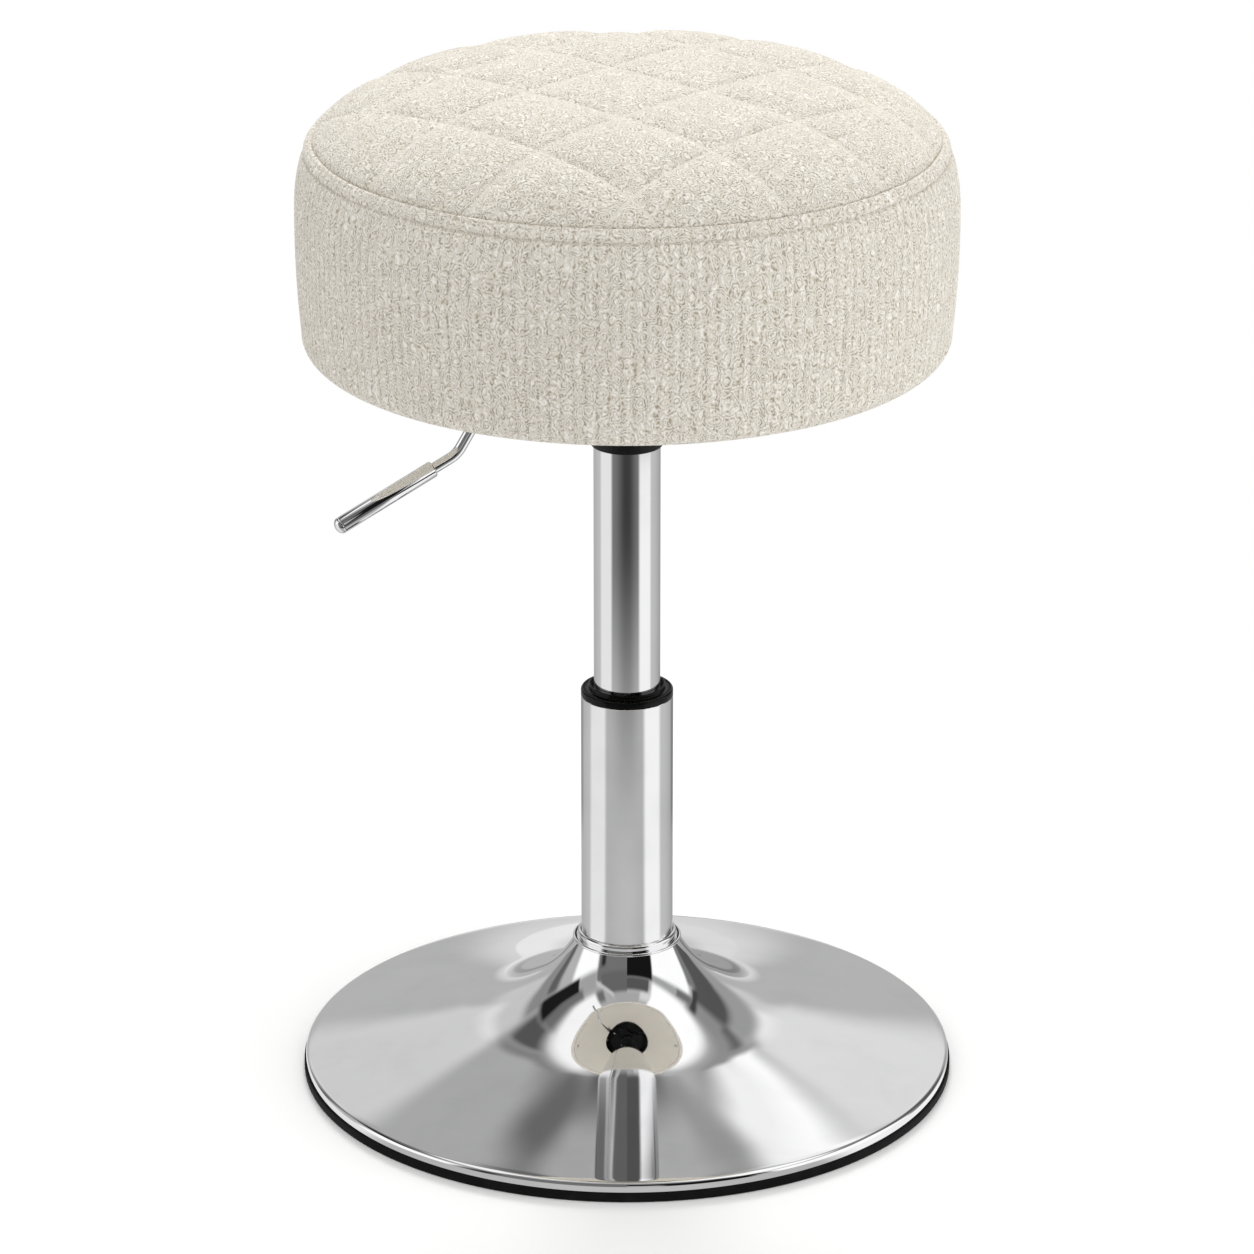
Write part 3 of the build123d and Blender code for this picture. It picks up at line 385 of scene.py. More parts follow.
@dataclass(frozen=True)
class LoopedPile(Finish):
    """Cream looped pile: yarns that curl round scattered points, a constant distance apart."""

    pile: Pile
    # Body colour, then a painted highlight for the yarn tops and painted shade for the gaps between yarns
    body: Colour = (0.735, 0.69, 0.605, 1.0)
    crest_highlight: Colour = (0.95, 0.92, 0.86, 1.0)
    gap: Colour = (0.4, 0.345, 0.265, 1.0)
    curl: float = 7.2
    pitch: float = 1.5
    relief: float = 0.0005
    sewn: tuple[SewnLines, ...] = ()
    bend_scale: float = 190.0
    bend_reach: float = 0.006
    break_scale: float = 330.0
    fibre_scale: float = 900.0
    yarn_height: float = 0.34
    fibre_height: float = 1.15

    def curls(self, shade: Shade, where: Value) -> Value:
        """Crests of the sine of the distance to the nearest of scattered points, bent by a noise.

        Args:
            shade: The node tree to write in.
            where: The place on the cloth, in metres.

        Returns:
            Height of the yarns, from -1 to 1.
        """
        inputs = {"Vector": where, "Scale": self.bend_scale, "Detail": 1.0}
        bend = shade.node("ShaderNodeTexNoise", {}, inputs, "Color")
        inputs = {0: bend, "Scale": self.bend_reach}
        shift = shade.node("ShaderNodeVectorMath", {"operation": "SCALE"}, inputs)
        bent = shade.node("ShaderNodeVectorMath", {"operation": "ADD"}, {0: where, 1: shift})
        away = shade.node("ShaderNodeTexVoronoi", {}, {"Vector": bent, "Scale": 1.0 / (self.curl * MM)})
        return away.maths("SINE", away * (math.tau * self.curl / self.pitch))

    def taut_and_highlight(self, shade: Shade) -> Value:
        """How flat the cloth is pulled, with a painted pale highlight line, by the distance to the nearest
        sewn line.

        Args:
            shade: The node tree to write in.

        Returns:
            Most along the sewn lines, and none beside them.
        """
        x = shade.split(shade.place())
        gap: Any = 1.0
        for lines in self.sewn:
            normal = math.radians(lines.normal)
            across = x * math.cos(normal) + x.out("Y") * math.sin(normal)
            for offset in lines.offsets:
                away = across.maths("ABSOLUTE", across - offset * MM)
                gap = away.maths("MINIMUM", away, gap)
        return shade.ramp(gap, 0.0003, 0.0013, 0.75, 0.0)

    def look(self, shade: Shade) -> Value:
        """Yarns broken here and there, with a fibre noise over them, set colour and bump.

        On the side band the curls are drawn out along the height, and upright wales that waver a little
        part them.

        Args:
            shade: The node tree to write in.

        Returns:
            The finished shader.
        """
        upright = self.pile is Pile.WALE
        where = shade.place((1.0, 1.0, 0.8) if upright else (1.0, 1.0, 1.0))
        broken = shade.ramp(shade.noise(where, self.break_scale, 1.0), 0.36, 0.58)
        fibre = shade.noise(where, self.fibre_scale, 1.0)
        yarns = self.yarn_height * self.curls(shade, where) * (0.6 + 0.4 * broken)
        height = 0.5 + yarns + self.fibre_height * (fibre - 0.5)
        if upright:
            spot = shade.split(shade.place())
            angle = spot.maths("ARCTAN2", spot.out("Y"), spot)
            waver = 2.4 * (shade.noise(shade.place((1.0, 1.0, 0.4)), 60.0, 1.0) - 0.5)
            # Wale valleys lower the height, which darkens the colour between the cords as painted shade
            # besides the bump
            wale = 0.5 + 0.5 * angle.maths("COSINE", angle * float(WALES) + waver)
            height = 0.95 * height + 0.2 * wale ** 0.4 - 0.1
        if self.sewn:
            taut_and_highlight = self.taut_and_highlight(shade)
            # Along the sewn lines the height goes to one level: flatter pile, and a painted pale highlight
            # line in the colour
            height = taut_and_highlight * (0.58 - height) + height
        mottle = shade.noise(shade.place(), 40.0, 3.0)
        tone = height + 0.08 * (mottle - 0.5)
        # Colour goes lighter where the yarns stand high (painted highlight) and darker where they sink
        # (painted shade)
        lit = shade.tint(shade.ramp(tone, 0.5, 1.0), self.body, self.crest_highlight)
        return shade.surface(
            Base_Color=shade.tint(shade.ramp(tone, 0.4, 0.02), lit, self.gap),
            Roughness=0.86 + 0.1 * fibre,
            Sheen_Weight=0.15,
            Sheen_Roughness=0.45,
            Specular_IOR_Level=0.15,
            Normal=shade.bump(height, self.relief, 1.0),
        )


@dataclass(frozen=True)
class Thread(Finish):
    """Twisted cream sewing thread."""

    light: Colour = (0.82, 0.78, 0.7, 1.0)
    dark: Colour = (0.56, 0.51, 0.43, 1.0)

    def look(self, shade: Shade) -> Value:
        """Fine strands in colour and bump.

        Args:
            shade: The node tree to write in.

        Returns:
            The finished shader.
        """
        strand = shade.noise(shade.place(), 2600.0, 1.0)
        return shade.surface(
            Base_Color=shade.tint(strand, self.dark, self.light),
            Roughness=0.7 + 0.1 * strand,
            Normal=shade.bump(strand, 0.0003, 0.6),
        )


BASE_CHROME = Chrome("base_chrome_plate", gloss=0.02, haze=0.02)
COLUMN_CHROME = Chrome("column_chrome_plate", gloss=0.06, haze=0.03)
LEVER_CHROME = Chrome("lever_chrome_plate", gloss=0.03, haze=0.02)
FLOOR_RUBBER = Moulded(
    "floor_rubber_black", (0.004, 0.004, 0.004, 1), (0.009, 0.009, 0.009, 1), 0.75, 0.5, shine=0.15
)
BUSH_PLASTIC = Moulded(
    "bush_plastic_black", (0.003, 0.003, 0.003, 1), (0.006, 0.006, 0.006, 1), 0.13, 0.06, shine=0.14
)
HUB_PAINT = Moulded(
    "hub_paint_black", (0.004, 0.004, 0.004, 1), (0.009, 0.009, 0.009, 1), 0.36, 0.35, shine=0.22
)
TOP_FABRIC = LoopedPile("seat_pile_quilted", Pile.SWIRL, sewn=QUILTING)
BAND_FABRIC = LoopedPile("seat_pile_wale", Pile.WALE)
SEAM_THREAD = Thread("seam_thread")
SLOT_FINISHES: dict[str, Finish] = {
    "base_chrome": BASE_CHROME,
    "column_chrome": COLUMN_CHROME,
    "lever_chrome": LEVER_CHROME,
    "floor_rubber": FLOOR_RUBBER,
    "seal_rubber": Moulded("seal_rubber_black", (0.015, 0.015, 0.015, 1), (0.03, 0.03, 0.03, 1), 0.5, 0.3),
    "bush_plastic": BUSH_PLASTIC,
    "hub_paint": HUB_PAINT,
    "plate_steel": Steel("plate_steel_rolled", (0.42, 0.42, 0.43, 1), (0.25, 0.25, 0.26, 1), 0.5),
    "bearing_steel": Steel("bearing_steel_ground", (0.62, 0.62, 0.63, 1), (0.45, 0.45, 0.46, 1), 0.24),
    "fastener_steel": Steel("fastener_zinc", (0.6, 0.6, 0.6, 1), (0.42, 0.42, 0.42, 1), 0.36),
    "piston_aluminium": Steel("piston_turned", (0.76, 0.76, 0.78, 1), (0.6, 0.6, 0.62, 1), 0.3),
    "frame_wood": Plywood("frame_plywood"),
    "foam": OpenFoam("cushion_foam"),
    "seat_fabric": LoopedPile(
        # Body, painted highlight on the yarn tops and painted shade between the yarns
        "seat_lining", Pile.SWIRL, (0.63, 0.59, 0.51, 1.0), (0.67, 0.63, 0.55, 1.0), (0.56, 0.52, 0.445, 1.0),
        relief=0.0001,
    ),
}


# Surfaces worked out with numpy, in millimetres

def grid_faces(rows: int, columns: int, close_rows: bool, close_columns: bool) -> Array:
    """Quads between neighbouring points of a grid.

    Args:
        rows: Points along the first parameter.
        columns: Points along the second parameter.
        close_rows: Join the last row to the first.
        close_columns: Join the last column to the first.

    Returns:
        Point numbers, four to a face.
    """
    i, j = np.meshgrid(
        np.arange(rows if close_rows else rows - 1),
        np.arange(columns if close_columns else columns - 1),
        indexing="ij",
    )
    below, beside = (i + 1) % rows, (j + 1) % columns
    quads = [i * columns + j, i * columns + beside, below * columns + beside, below * columns + j]
    return np.stack(quads, -1).reshape(-1, 4)


def signed_volume(points: Array, quads: Array) -> float:
    """Volume inside closed quads: each adds the box product of its corners, taken as two triangles.

    Args:
        points: Corners of the faces.
        quads: Point numbers, four to a face.

    Returns:
        The volume, below zero where the faces point inwards.
    """
    a, b, c, d = (points[quads[:, k]] for k in range(4))
    first = np.einsum("ij,ij->i", a, np.cross(b, c))
    second = np.einsum("ij,ij->i", a, np.cross(c, d))
    return float((first + second).sum() / 6.0)


def placed(name: str, data: bpy.types.ID) -> bpy.types.Object:
    """Put data into the scene as a new object at the origin.

    Args:
        name: The object's name.
        data: A mesh, a light or a camera.

    Returns:
        The linked object.
    """
    made = bpy.data.objects.new(name, data)
    bpy.context.scene.collection.objects.link(made)
    return made


def make_piece(
    name: str, points: Array, quads: Array, tris: Array | None = None, crease: float = 35.0
) -> bpy.types.Object:
    """Put a closed surface into a mesh object at the origin, faces outwards.

    Args:
        name: The piece's name.
        points: Points in millimetres.
        quads: Point numbers of its quads.
        tris: Point numbers of its triangles, at poles and caps.
        crease: Edges that turn more than this, in degrees, stay sharp.

    Returns:
        The linked object, shaded smooth.
    """
    tris = np.zeros((0, 3), int) if tris is None else tris
    flat = np.concatenate([quads, np.stack([tris[:, 0], tris[:, 1], tris[:, 2], tris[:, 2]], -1)])
    if signed_volume(points, flat) < 0:
        quads, tris = quads[:, ::-1], tris[:, ::-1]
    mesh = bpy.data.meshes.new(name)
    mesh.from_pydata((points * MM).tolist(), [], quads.tolist() + tris.tolist())
    mesh.shade_smooth()
    mesh.set_sharp_from_angle(angle=math.radians(crease))
    return placed(name, mesh)


def circle(count: int) -> Array:
    """Angles of points spaced evenly round a full turn."""
    return np.linspace(0.0, math.tau, count, endpoint=False)


def about_axis(radius: Array, angle: Array, height: Array) -> Array:
    """Points round the column's axis from their radius, angle and height, one to a row."""
    axes = np.broadcast_arrays(radius * np.cos(angle), radius * np.sin(angle), height)
    return np.stack(axes, -1).reshape(-1, 3)


def ring_piece(name: str, profile: Array, turns: int, crease: float = 35.0) -> bpy.types.Object:
    """Lathe a closed profile: each of its points goes round the column's axis in a circle."""
    points = about_axis(profile[:, :1], circle(turns), profile[:, 1:])
    return make_piece(name, points, grid_faces(len(profile), turns, True, True), crease=crease)


def tube_piece(name: str, rings: Array, crease: float = 35.0) -> bpy.types.Object:
    """Skin a row of closed rings, and close both ends with a fan round the ring's middle.

    Args:
        name: The piece's name.
        rings: Rings of points, in millimetres.
        crease: Edges that turn more than this, in degrees, stay sharp.

    Returns:
        The linked object.
    """
    rows, columns, _ = rings.shape
    points = np.concatenate([rings.reshape(-1, 3), rings[[0, -1]].mean(axis=1)])
    rim = np.arange(columns)
    after = (rim + 1) % columns
    last = (rows - 1) * columns
    centre = np.full(columns, rows * columns)
    tris = np.concatenate([
        np.stack([centre, after, rim], -1),
        np.stack([centre + 1, last + rim, last + after], -1),
    ])
    return make_piece(name, points, grid_faces(rows, columns, False, True), tris, crease)


def arc(centre: tuple[float, float], radius: float, start: float, end: float, count: int) -> Array:
    """Points of an arc in a profile's plane, angles in degrees from the first axis."""
    angle = np.radians(np.linspace(start, end, count))
    return np.stack([centre[0] + radius * np.cos(angle), centre[1] + radius * np.sin(angle)], -1)


def span(start: tuple[float, float], end: tuple[float, float], count: int) -> Array:
    """Points of a straight run in a profile's plane, ends included."""
    return np.linspace(start, end, count)


def rounded_path(corners: Array, radii: Sequence[float], step: float) -> Array:
    """Points along straight runs whose inner corners are turned on arcs.

    Each arc touches both runs: it starts radius * tan(half the turn) before the corner, and its points
    are the touching point carried round the arc's centre.

    Args:
        corners: Corner points in a plane.
        radii: One arc radius for each inner corner.
        step: Distance between points along the path.

    Returns:
        Points in the same plane, evenly spaced along the path.
    """
    runs = [corners[:1]]
    for k, radius in enumerate(radii, start=1):
        into = (corners[k] - corners[k - 1]) / np.linalg.norm(corners[k] - corners[k - 1])
        away = (corners[k + 1] - corners[k]) / np.linalg.norm(corners[k + 1] - corners[k])
        turn = math.atan2(into[0] * away[1] - into[1] * away[0], float(into @ away))
        touch = corners[k] - into * radius * math.tan(abs(turn) / 2)
        side = np.array([-into[1], into[0]]) * math.copysign(1.0, turn)
        sweep = np.linspace(0.0, abs(turn), 24)[:, None]
        runs.append(touch + radius * (np.sin(sweep) * into + (1 - np.cos(sweep)) * side))
    dense = np.concatenate([*runs, corners[-1:]])
    length = np.concatenate([[0.0], np.cumsum(np.linalg.norm(np.diff(dense, axis=0), axis=1))])
    even = np.linspace(0.0, length[-1], int(length[-1] / step) + 1)
    return np.stack([np.interp(even, length, dense[:, k]) for k in range(2)], -1)


def settle(piece: bpy.types.Object, finish: Finish, body: str, slot: str, *nodes: str) -> None:
    """Give a finished piece its material and body, and hide the solids that it stands for.

    Args:
        piece: The finished piece.
        finish: What it is dressed in.
        body: The body that it rides on.
        slot: Its material slot in the record; not used.
        nodes: The solids that it stands for.
    """
    piece.data.materials.append(finish.material())
    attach(piece, body)
    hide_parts(*nodes)
    LOG.info("%s: %d faces on %s", piece.name, len(piece.data.polygons), body)


# Sub-assemblies

@dataclass
class TrumpetBase:
    """Chromed trumpet on its rubber ring, with the ring that hides the column's foot."""

    radius: float = 192.5
    sheet: float = 1.5
    rubber_height: float = 4.2
    rubber_width: float = 20.0
    rubber_proud: float = 1.0
    skirt_height: float = 1.5
    rim_height: float = 7.0
    rim_round: float = 3.0
    rim_slope: float = 11.6
    rim_flat: float = 12.0
    dish_slope: float = 15.0
    bell_radius: float = 140.4
    bell_slope: float = 35.0
    flare_radius: float = 71.6
    neck_radius: float = 31.2
    neck_slope: float = 64.0
    lip_radius: float = 32.2
    lip_height: float = 1.8
    lip_bore: float = 27.4
    neck_ring_radius: float = 29.4
    neck_ring_height: float = 3.8
    neck_ring_round: float = 1.7
    neck_ring_bore: float = 27.15
    lip_edge: float = 0.9
    bore_break: float = 0.3
    neck_ring_break: float = 0.4
    rubber_clear: float = 0.05
    rubber_round: float = 1.0
    rubber_break: float = 0.4
    turns: int = 288
    neck_turns: int = 160
    rubber_turns: int = 240

    def skin(self, inset: float) -> Array:
        """Profile from the rim's foot to the neck, on the surface that lies inset inside the chrome.

        The rim is upright and turns over on a small round into a short straight run. The arcs of the dish,
        the bell and the flare then turn the slope up: a point of each lies at centre - radius * (sin, cos)
        of its slope, and neighbouring arcs share their slope where they meet.

        Args:
            inset: Depth below the outer surface.

        Returns:
            (radius, height) points.
        """
        slopes = (self.rim_slope, self.dish_slope, self.bell_slope, self.neck_slope)
        rim, dish, bell, neck = (math.radians(slope) for slope in slopes)
        corner = self.rubber_height + self.rim_height
        flat = self.radius - self.rim_flat
        flare_across = self.neck_radius + self.flare_radius * math.sin(neck)
        bell_across = flare_across + (self.bell_radius - self.flare_radius) * math.sin(bell)
        foot = bell_across - self.bell_radius * math.sin(dish)
        dish_radius = (flat - foot) / (math.sin(dish) - math.sin(rim))
        dish_across = flat + dish_radius * math.sin(rim)
        dish_up = corner + self.rim_flat * math.tan(rim) + dish_radius * math.cos(rim)
        bell_up = dish_up - (dish_radius - self.bell_radius) * math.cos(dish)
        flare_up = bell_up - (self.bell_radius - self.flare_radius) * math.cos(bell)
        edge = self.radius - inset
        rounding = self.rim_round - inset
        edge_height = corner + inset * (math.tan(rim) - 1 / math.cos(rim))
        tangent = rounding * math.tan((math.pi / 2 - rim) / 2)
        rounded = arc((edge - rounding, edge_height - tangent), rounding, 0.0, 90.0 - self.rim_slope, 9)
        runs = (
            ((dish_across, dish_up), dish_radius, self.rim_slope, self.dish_slope, 24),
            ((bell_across, bell_up), self.bell_radius, self.dish_slope, self.bell_slope, 36),
            ((flare_across, flare_up), self.flare_radius, self.bell_slope, self.neck_slope, 28),
        )
        bowl, hollow, flare = (
            arc(centre, radius + inset, 270.0 - low, 270.0 - high, count)
            for centre, radius, low, high, count in runs
        )
        return np.concatenate([
            span((edge, self.rubber_height), (edge, edge_height - tangent), 3)[:-1],
            rounded,
            span(tuple(rounded[-1]), tuple(bowl[0]), 4)[1:-1],
            bowl[:-1],
            hollow[:-1],
            flare,
        ])

    def lip_top(self) -> float:
        """Height of the lip's upper face."""
        return self.skin(0.0)[-1, 1] + self.lip_height

    def build(self) -> None:
        """Make the trumpet, the neck ring and the rubber ring."""
        outer, inner = self.skin(0.0), self.skin(self.sheet)
        top, under = self.lip_top(), inner[-1, 1]
        edge, nip = self.lip_edge, self.bore_break
        lip = np.concatenate([
            [(self.lip_radius - edge, outer[-1, 1])],
            arc((self.lip_radius - edge, outer[-1, 1] + edge), edge, -90, 0, 5),
            arc((self.lip_radius - edge, top - edge), edge, 0, 90, 5),
            [(self.lip_bore + nip, top), (self.lip_bore, top - nip), (self.lip_bore, under)],
        ])
        trumpet = ring_piece("base_trumpet", np.concatenate([outer, lip, inner[::-1]]), self.turns, 50.0)
        settle(trumpet, BASE_CHROME, "base", "base_chrome", "base_shell")
        low, high, bore = top, top + self.neck_ring_height, self.neck_ring_bore
        rounding, nip = self.neck_ring_round, self.neck_ring_break
        ring = np.concatenate([
            [(bore, low), (self.neck_ring_radius, low)],
            arc((self.neck_ring_radius - rounding, high - rounding), rounding, 0, 90, 11),
            [(bore + nip, high), (bore, high - nip)],
        ])
        neck = ring_piece("base_neck_ring", ring, self.neck_turns)
        settle(neck, BASE_CHROME, "base", "base_chrome", "neck_ring")
        outer_rubber = self.radius + self.rubber_proud
        inner_rubber = outer_rubber - self.rubber_width
        skirt = self.rubber_height + self.skirt_height
        hold = self.radius + self.rubber_clear
        rounding, nip = self.rubber_round, self.rubber_break
        rubber = np.concatenate([
            [(inner_rubber, nip), (inner_rubber + nip, 0.0)],
            arc((outer_rubber - rounding, rounding), rounding, -90, 0, 6),
            arc((outer_rubber - nip, skirt - nip), nip, 0, 90, 4),
            [(hold, skirt), (hold, self.rubber_height), (inner_rubber, self.rubber_height)],
        ])
        floor_ring = ring_piece("base_floor_ring", rubber, self.rubber_turns)
        settle(floor_ring, FLOOR_RUBBER, "base", "floor_rubber", "floor_ring")


@dataclass
class LiftColumn:
    """Fixed lower tube with its black bush, the sliding tube and the black socket under the seat."""

    tube_radius: float = 27.1
    tube_wall: float = 2.0
    tube_foot: float = 15.2
    tube_top: float = 236.5
    bush_bore: float = 19.58
    bush_length: float = 60.0
    bush_flange: float = 4.0
    collar_radius: float = 22.6
    collar_height: float = 2.6
    slide_radius: float = 19.5
    slide_wall: float = 1.8
    slide_foot: float = 171.4
    slide_top: float = 397.3
    socket_radius: float = 21.0
    socket_bottom: float = 391.3
    socket_top: float = 462.5
    socket_bore: float = 14.6
    flange_round: float = 1.4
    collar_round: float = 0.6
    bush_clear: float = 0.05
    socket_clear: float = 0.3
    tube_break: float = 0.5
    collar_fillet: float = 0.5
    bore_break: float = 0.3
    socket_round: float = 0.6
    turns: int = 160

    def tube(self, outer: float, wall: float, low: float, high: float) -> Array:
        """Profile of a tube with its sharp outer edges broken."""
        bore, edge = outer - wall, self.tube_break
        return np.array([
            (bore, low), (outer - edge, low), (outer, low + edge),
            (outer, (low + high) / 2), (outer, high - edge), (outer - edge, high), (bore, high),
        ])

    def build(self) -> None:
        """Make the two tubes, the bush and the socket."""
        lower = self.tube(self.tube_radius, self.tube_wall, self.tube_foot, self.tube_top)
        tube = ring_piece("column_lower_tube", lower, self.turns)
        settle(tube, COLUMN_CHROME, "base", "column_chrome", "column_tube")
        sleeve = self.tube_radius - self.tube_wall - self.bush_clear
        foot = self.tube_top - self.bush_length
        flange = self.tube_top + self.bush_flange
        collar = flange + self.collar_height
        wide, narrow, fillet = self.flange_round, self.collar_round, self.collar_fillet
        nip = self.bore_break
        bush = np.concatenate([
            [(self.bush_bore, foot), (sleeve, foot)],
            [(sleeve, self.tube_top), (self.tube_radius, self.tube_top)],
            arc((self.tube_radius - wide, flange - wide), wide, 0, 90, 8),
            arc((self.collar_radius + fillet, flange + fillet), fillet, 270, 180, 4),
            arc((self.collar_radius - narrow, collar - narrow), narrow, 0, 90, 5),
            [(self.bush_bore + nip, collar), (self.bush_bore, collar - nip)],
        ])
        guide = ring_piece("column_guide_bush", bush, self.turns)
        settle(guide, BUSH_PLASTIC, "base", "bush_plastic", "guide_bush")
        upper = self.tube(self.slide_radius, self.slide_wall, self.slide_foot, self.slide_top)
        slide = ring_piece("lift_upper_tube", upper, self.turns)
        settle(slide, COLUMN_CHROME, "seat", "column_chrome", "lift_tube")
        mouth, step = self.slide_radius + self.socket_clear, self.slide_top + self.socket_clear
        rounding = self.socket_round
        socket = np.concatenate([
            [(mouth, self.socket_bottom)],
            arc((self.socket_radius - rounding, self.socket_bottom + rounding), rounding, -90, 0, 5),
            [(self.socket_radius, self.socket_top), (self.socket_bore, self.socket_top)],
            [(self.socket_bore, step), (mouth, step)],
        ])
        hub = ring_piece("seat_socket_hub", socket, self.turns)
        settle(hub, HUB_PAINT, "seat", "hub_paint", "socket_hub")


@dataclass
class HandLever:
    """Bent chromed rod with its pivot block and paddle, the sleeve grip and its domed cap."""

    turn: float = 202.4
    pivot_height: float = 472.0
    rod_radius: float = 3.25
    paddle_start: float = -8.0
    paddle_end: float = 10.0
    paddle_half_width: float = 6.0
    block_start: float = 27.0
    block_end: float = 41.0
    block_half: float = 6.0
    elbow_reach: float = 58.2
    elbow_round: float = 12.0
    drop_angle: float = 57.4
    drop: float = 73.2
    bend_round: float = 16.0
    grip_angle: float = 25.3
    grip_start: float = 15.7
    grip_length: float = 62.0
    grip_radius: float = 4.9
    grip_clear: float = 0.05
    cap_length: float = 4.4
    rod_short: float = 3.0
    squareness: float = 8.0
    path_step: float = 0.8

    def axes(self) -> tuple[Array, Array]:
        """Unit vectors out along the lever and across it."""
        turn = math.radians(self.turn)
        return (
            np.array([math.cos(turn), math.sin(turn), 0.0]),
            np.array([-math.sin(turn), math.cos(turn), 0.0]),
        )

    def bend(self) -> Array:
        """Lower bend of the rod, as (reach, height)."""
        reach = self.elbow_reach + self.drop / math.tan(math.radians(self.drop_angle))
        return np.array([reach, self.pivot_height - self.drop])

    def along(self) -> Array:
        """Unit (reach, height) direction of the grip."""
        angle = math.radians(self.grip_angle)
        return np.array([math.cos(angle), -math.sin(angle)])

    def stand(self, path: Array, lift: Array, wide: Array, high: Array) -> Array:
        """Stand rings on a path in the lever's plane: a point goes high along the lift and wide across.

        Args:
            path: (reach, height) points.
            lift: Unit (reach, height) directions square to the path.
            wide: Offsets of each ring's points across the lever.
            high: Their offsets along the lift.

        Returns:
            Rings of points, in millimetres.
        """
        out, across = self.axes()
        up = np.array([0.0, 0.0, 1.0])
        reach = path[:, :1] + lift[:, :1] * high
        height = path[:, 1:] + lift[:, 1:] * high
        return reach[..., None] * out + height[..., None] * up + wide[..., None] * across

    def carry(
        self, path: Array, half_width: Array, half_height: Array, power: Array, count: int = 40
    ) -> Array:
        """Carry a superellipse along a path in the lever's plane.

        At each path point the ring is |across / half_width|^power + |up / half_height|^power = 1, standing
        square to the path: power 2 is a circle and a high power a block with rounded corners.

        Args:
            path: (reach, height) points.
            half_width: Half width across the lever at each point.
            half_height: Half height in the lever's plane at each point.
            power: Roundness at each point.
            count: Points in a ring.

        Returns:
            Rings of points, in millimetres.
        """
        step = np.gradient(path, axis=0)
        step /= np.linalg.norm(step, axis=1)[:, None]
        lift = np.stack([-step[:, 1], step[:, 0]], -1)
        angle = circle(count)
        c, s = np.cos(angle)[None, :], np.sin(angle)[None, :]
        size = (np.abs(c) ** power[:, None] + np.abs(s) ** power[:, None]) ** (-1.0 / power[:, None])
        wide, high = half_width[:, None] * size * c, half_height[:, None] * size * s
        return self.stand(path, lift, wide, high)

    def turned(self, start: float, profile: Array, count: int = 56) -> Array:
        """Carry circles along the grip.

        Args:
            start: Distance past the rod's lower bend.
            profile: (distance past start, radius) points.
            count: Points in a ring.

        Returns:
            Rings of points, in millimetres.
        """
        way = self.along()
        path = self.bend() + way * (start + profile[:, :1])
        lift = np.array([[-way[1], way[0]]])
        angle, radius = circle(count), profile[:, 1:]
        return self.stand(path, lift, radius * np.cos(angle), radius * np.sin(angle))

    def build(self) -> None:
        """Make the rod, the grip and the cap."""
        corners = np.array([
            (self.paddle_start, self.pivot_height),
            (self.elbow_reach, self.pivot_height),
            self.bend(),
            self.bend() + self.along() * (self.grip_start + self.grip_length - self.rod_short),
        ])
        path = rounded_path(corners, (self.elbow_round, self.bend_round), self.path_step)
        reach = path[:, 0]

        def within(start: float, end: float) -> Array:
            """One between two reaches and none outside, over a millimetre."""
            return np.clip((reach - start) + 0.5, 0, 1) * np.clip((end - reach) + 0.5, 0, 1)

        paddle = within(self.paddle_start - 2.0, self.paddle_end)
        block = within(self.block_start, self.block_end)
        half_width = self.rod_radius + (self.paddle_half_width - self.rod_radius) * np.maximum(paddle, block)
        half_height = self.rod_radius + (self.block_half - self.rod_radius) * block
        power = 2.0 + self.squareness * np.maximum(paddle, block)
        end, radius = self.grip_length, self.grip_radius
        bore = self.rod_radius + self.grip_clear
        sleeve = np.array([
            (0.0, bore), (0.0, radius - 1.0), (0.3, radius - 0.45), (1.0, radius),
            (end - 0.5, radius), (end - 0.15, radius - 0.12), (end, radius - 0.5), (end, bore),
        ])
        dome = np.radians(np.linspace(0.0, 88.0, 12))
        cap = np.concatenate([
            [(0.02, radius - 0.55), (0.2, radius - 0.15)],
            np.stack([0.5 + (self.cap_length - 0.5) * np.sin(dome), radius * np.cos(dome)], -1),
        ])
        for name, rings, node in (
            ("hand_lever_rod", self.carry(path, half_width, half_height, power), "lever_rod"),
            ("hand_lever_grip", self.turned(self.grip_start, sleeve), "lever_grip"),
            ("hand_lever_cap", self.turned(self.grip_start + end, cap), "grip_cap"),
        ):
            settle(tube_piece(name, rings), LEVER_CHROME, "lever", "lever_chrome", node)


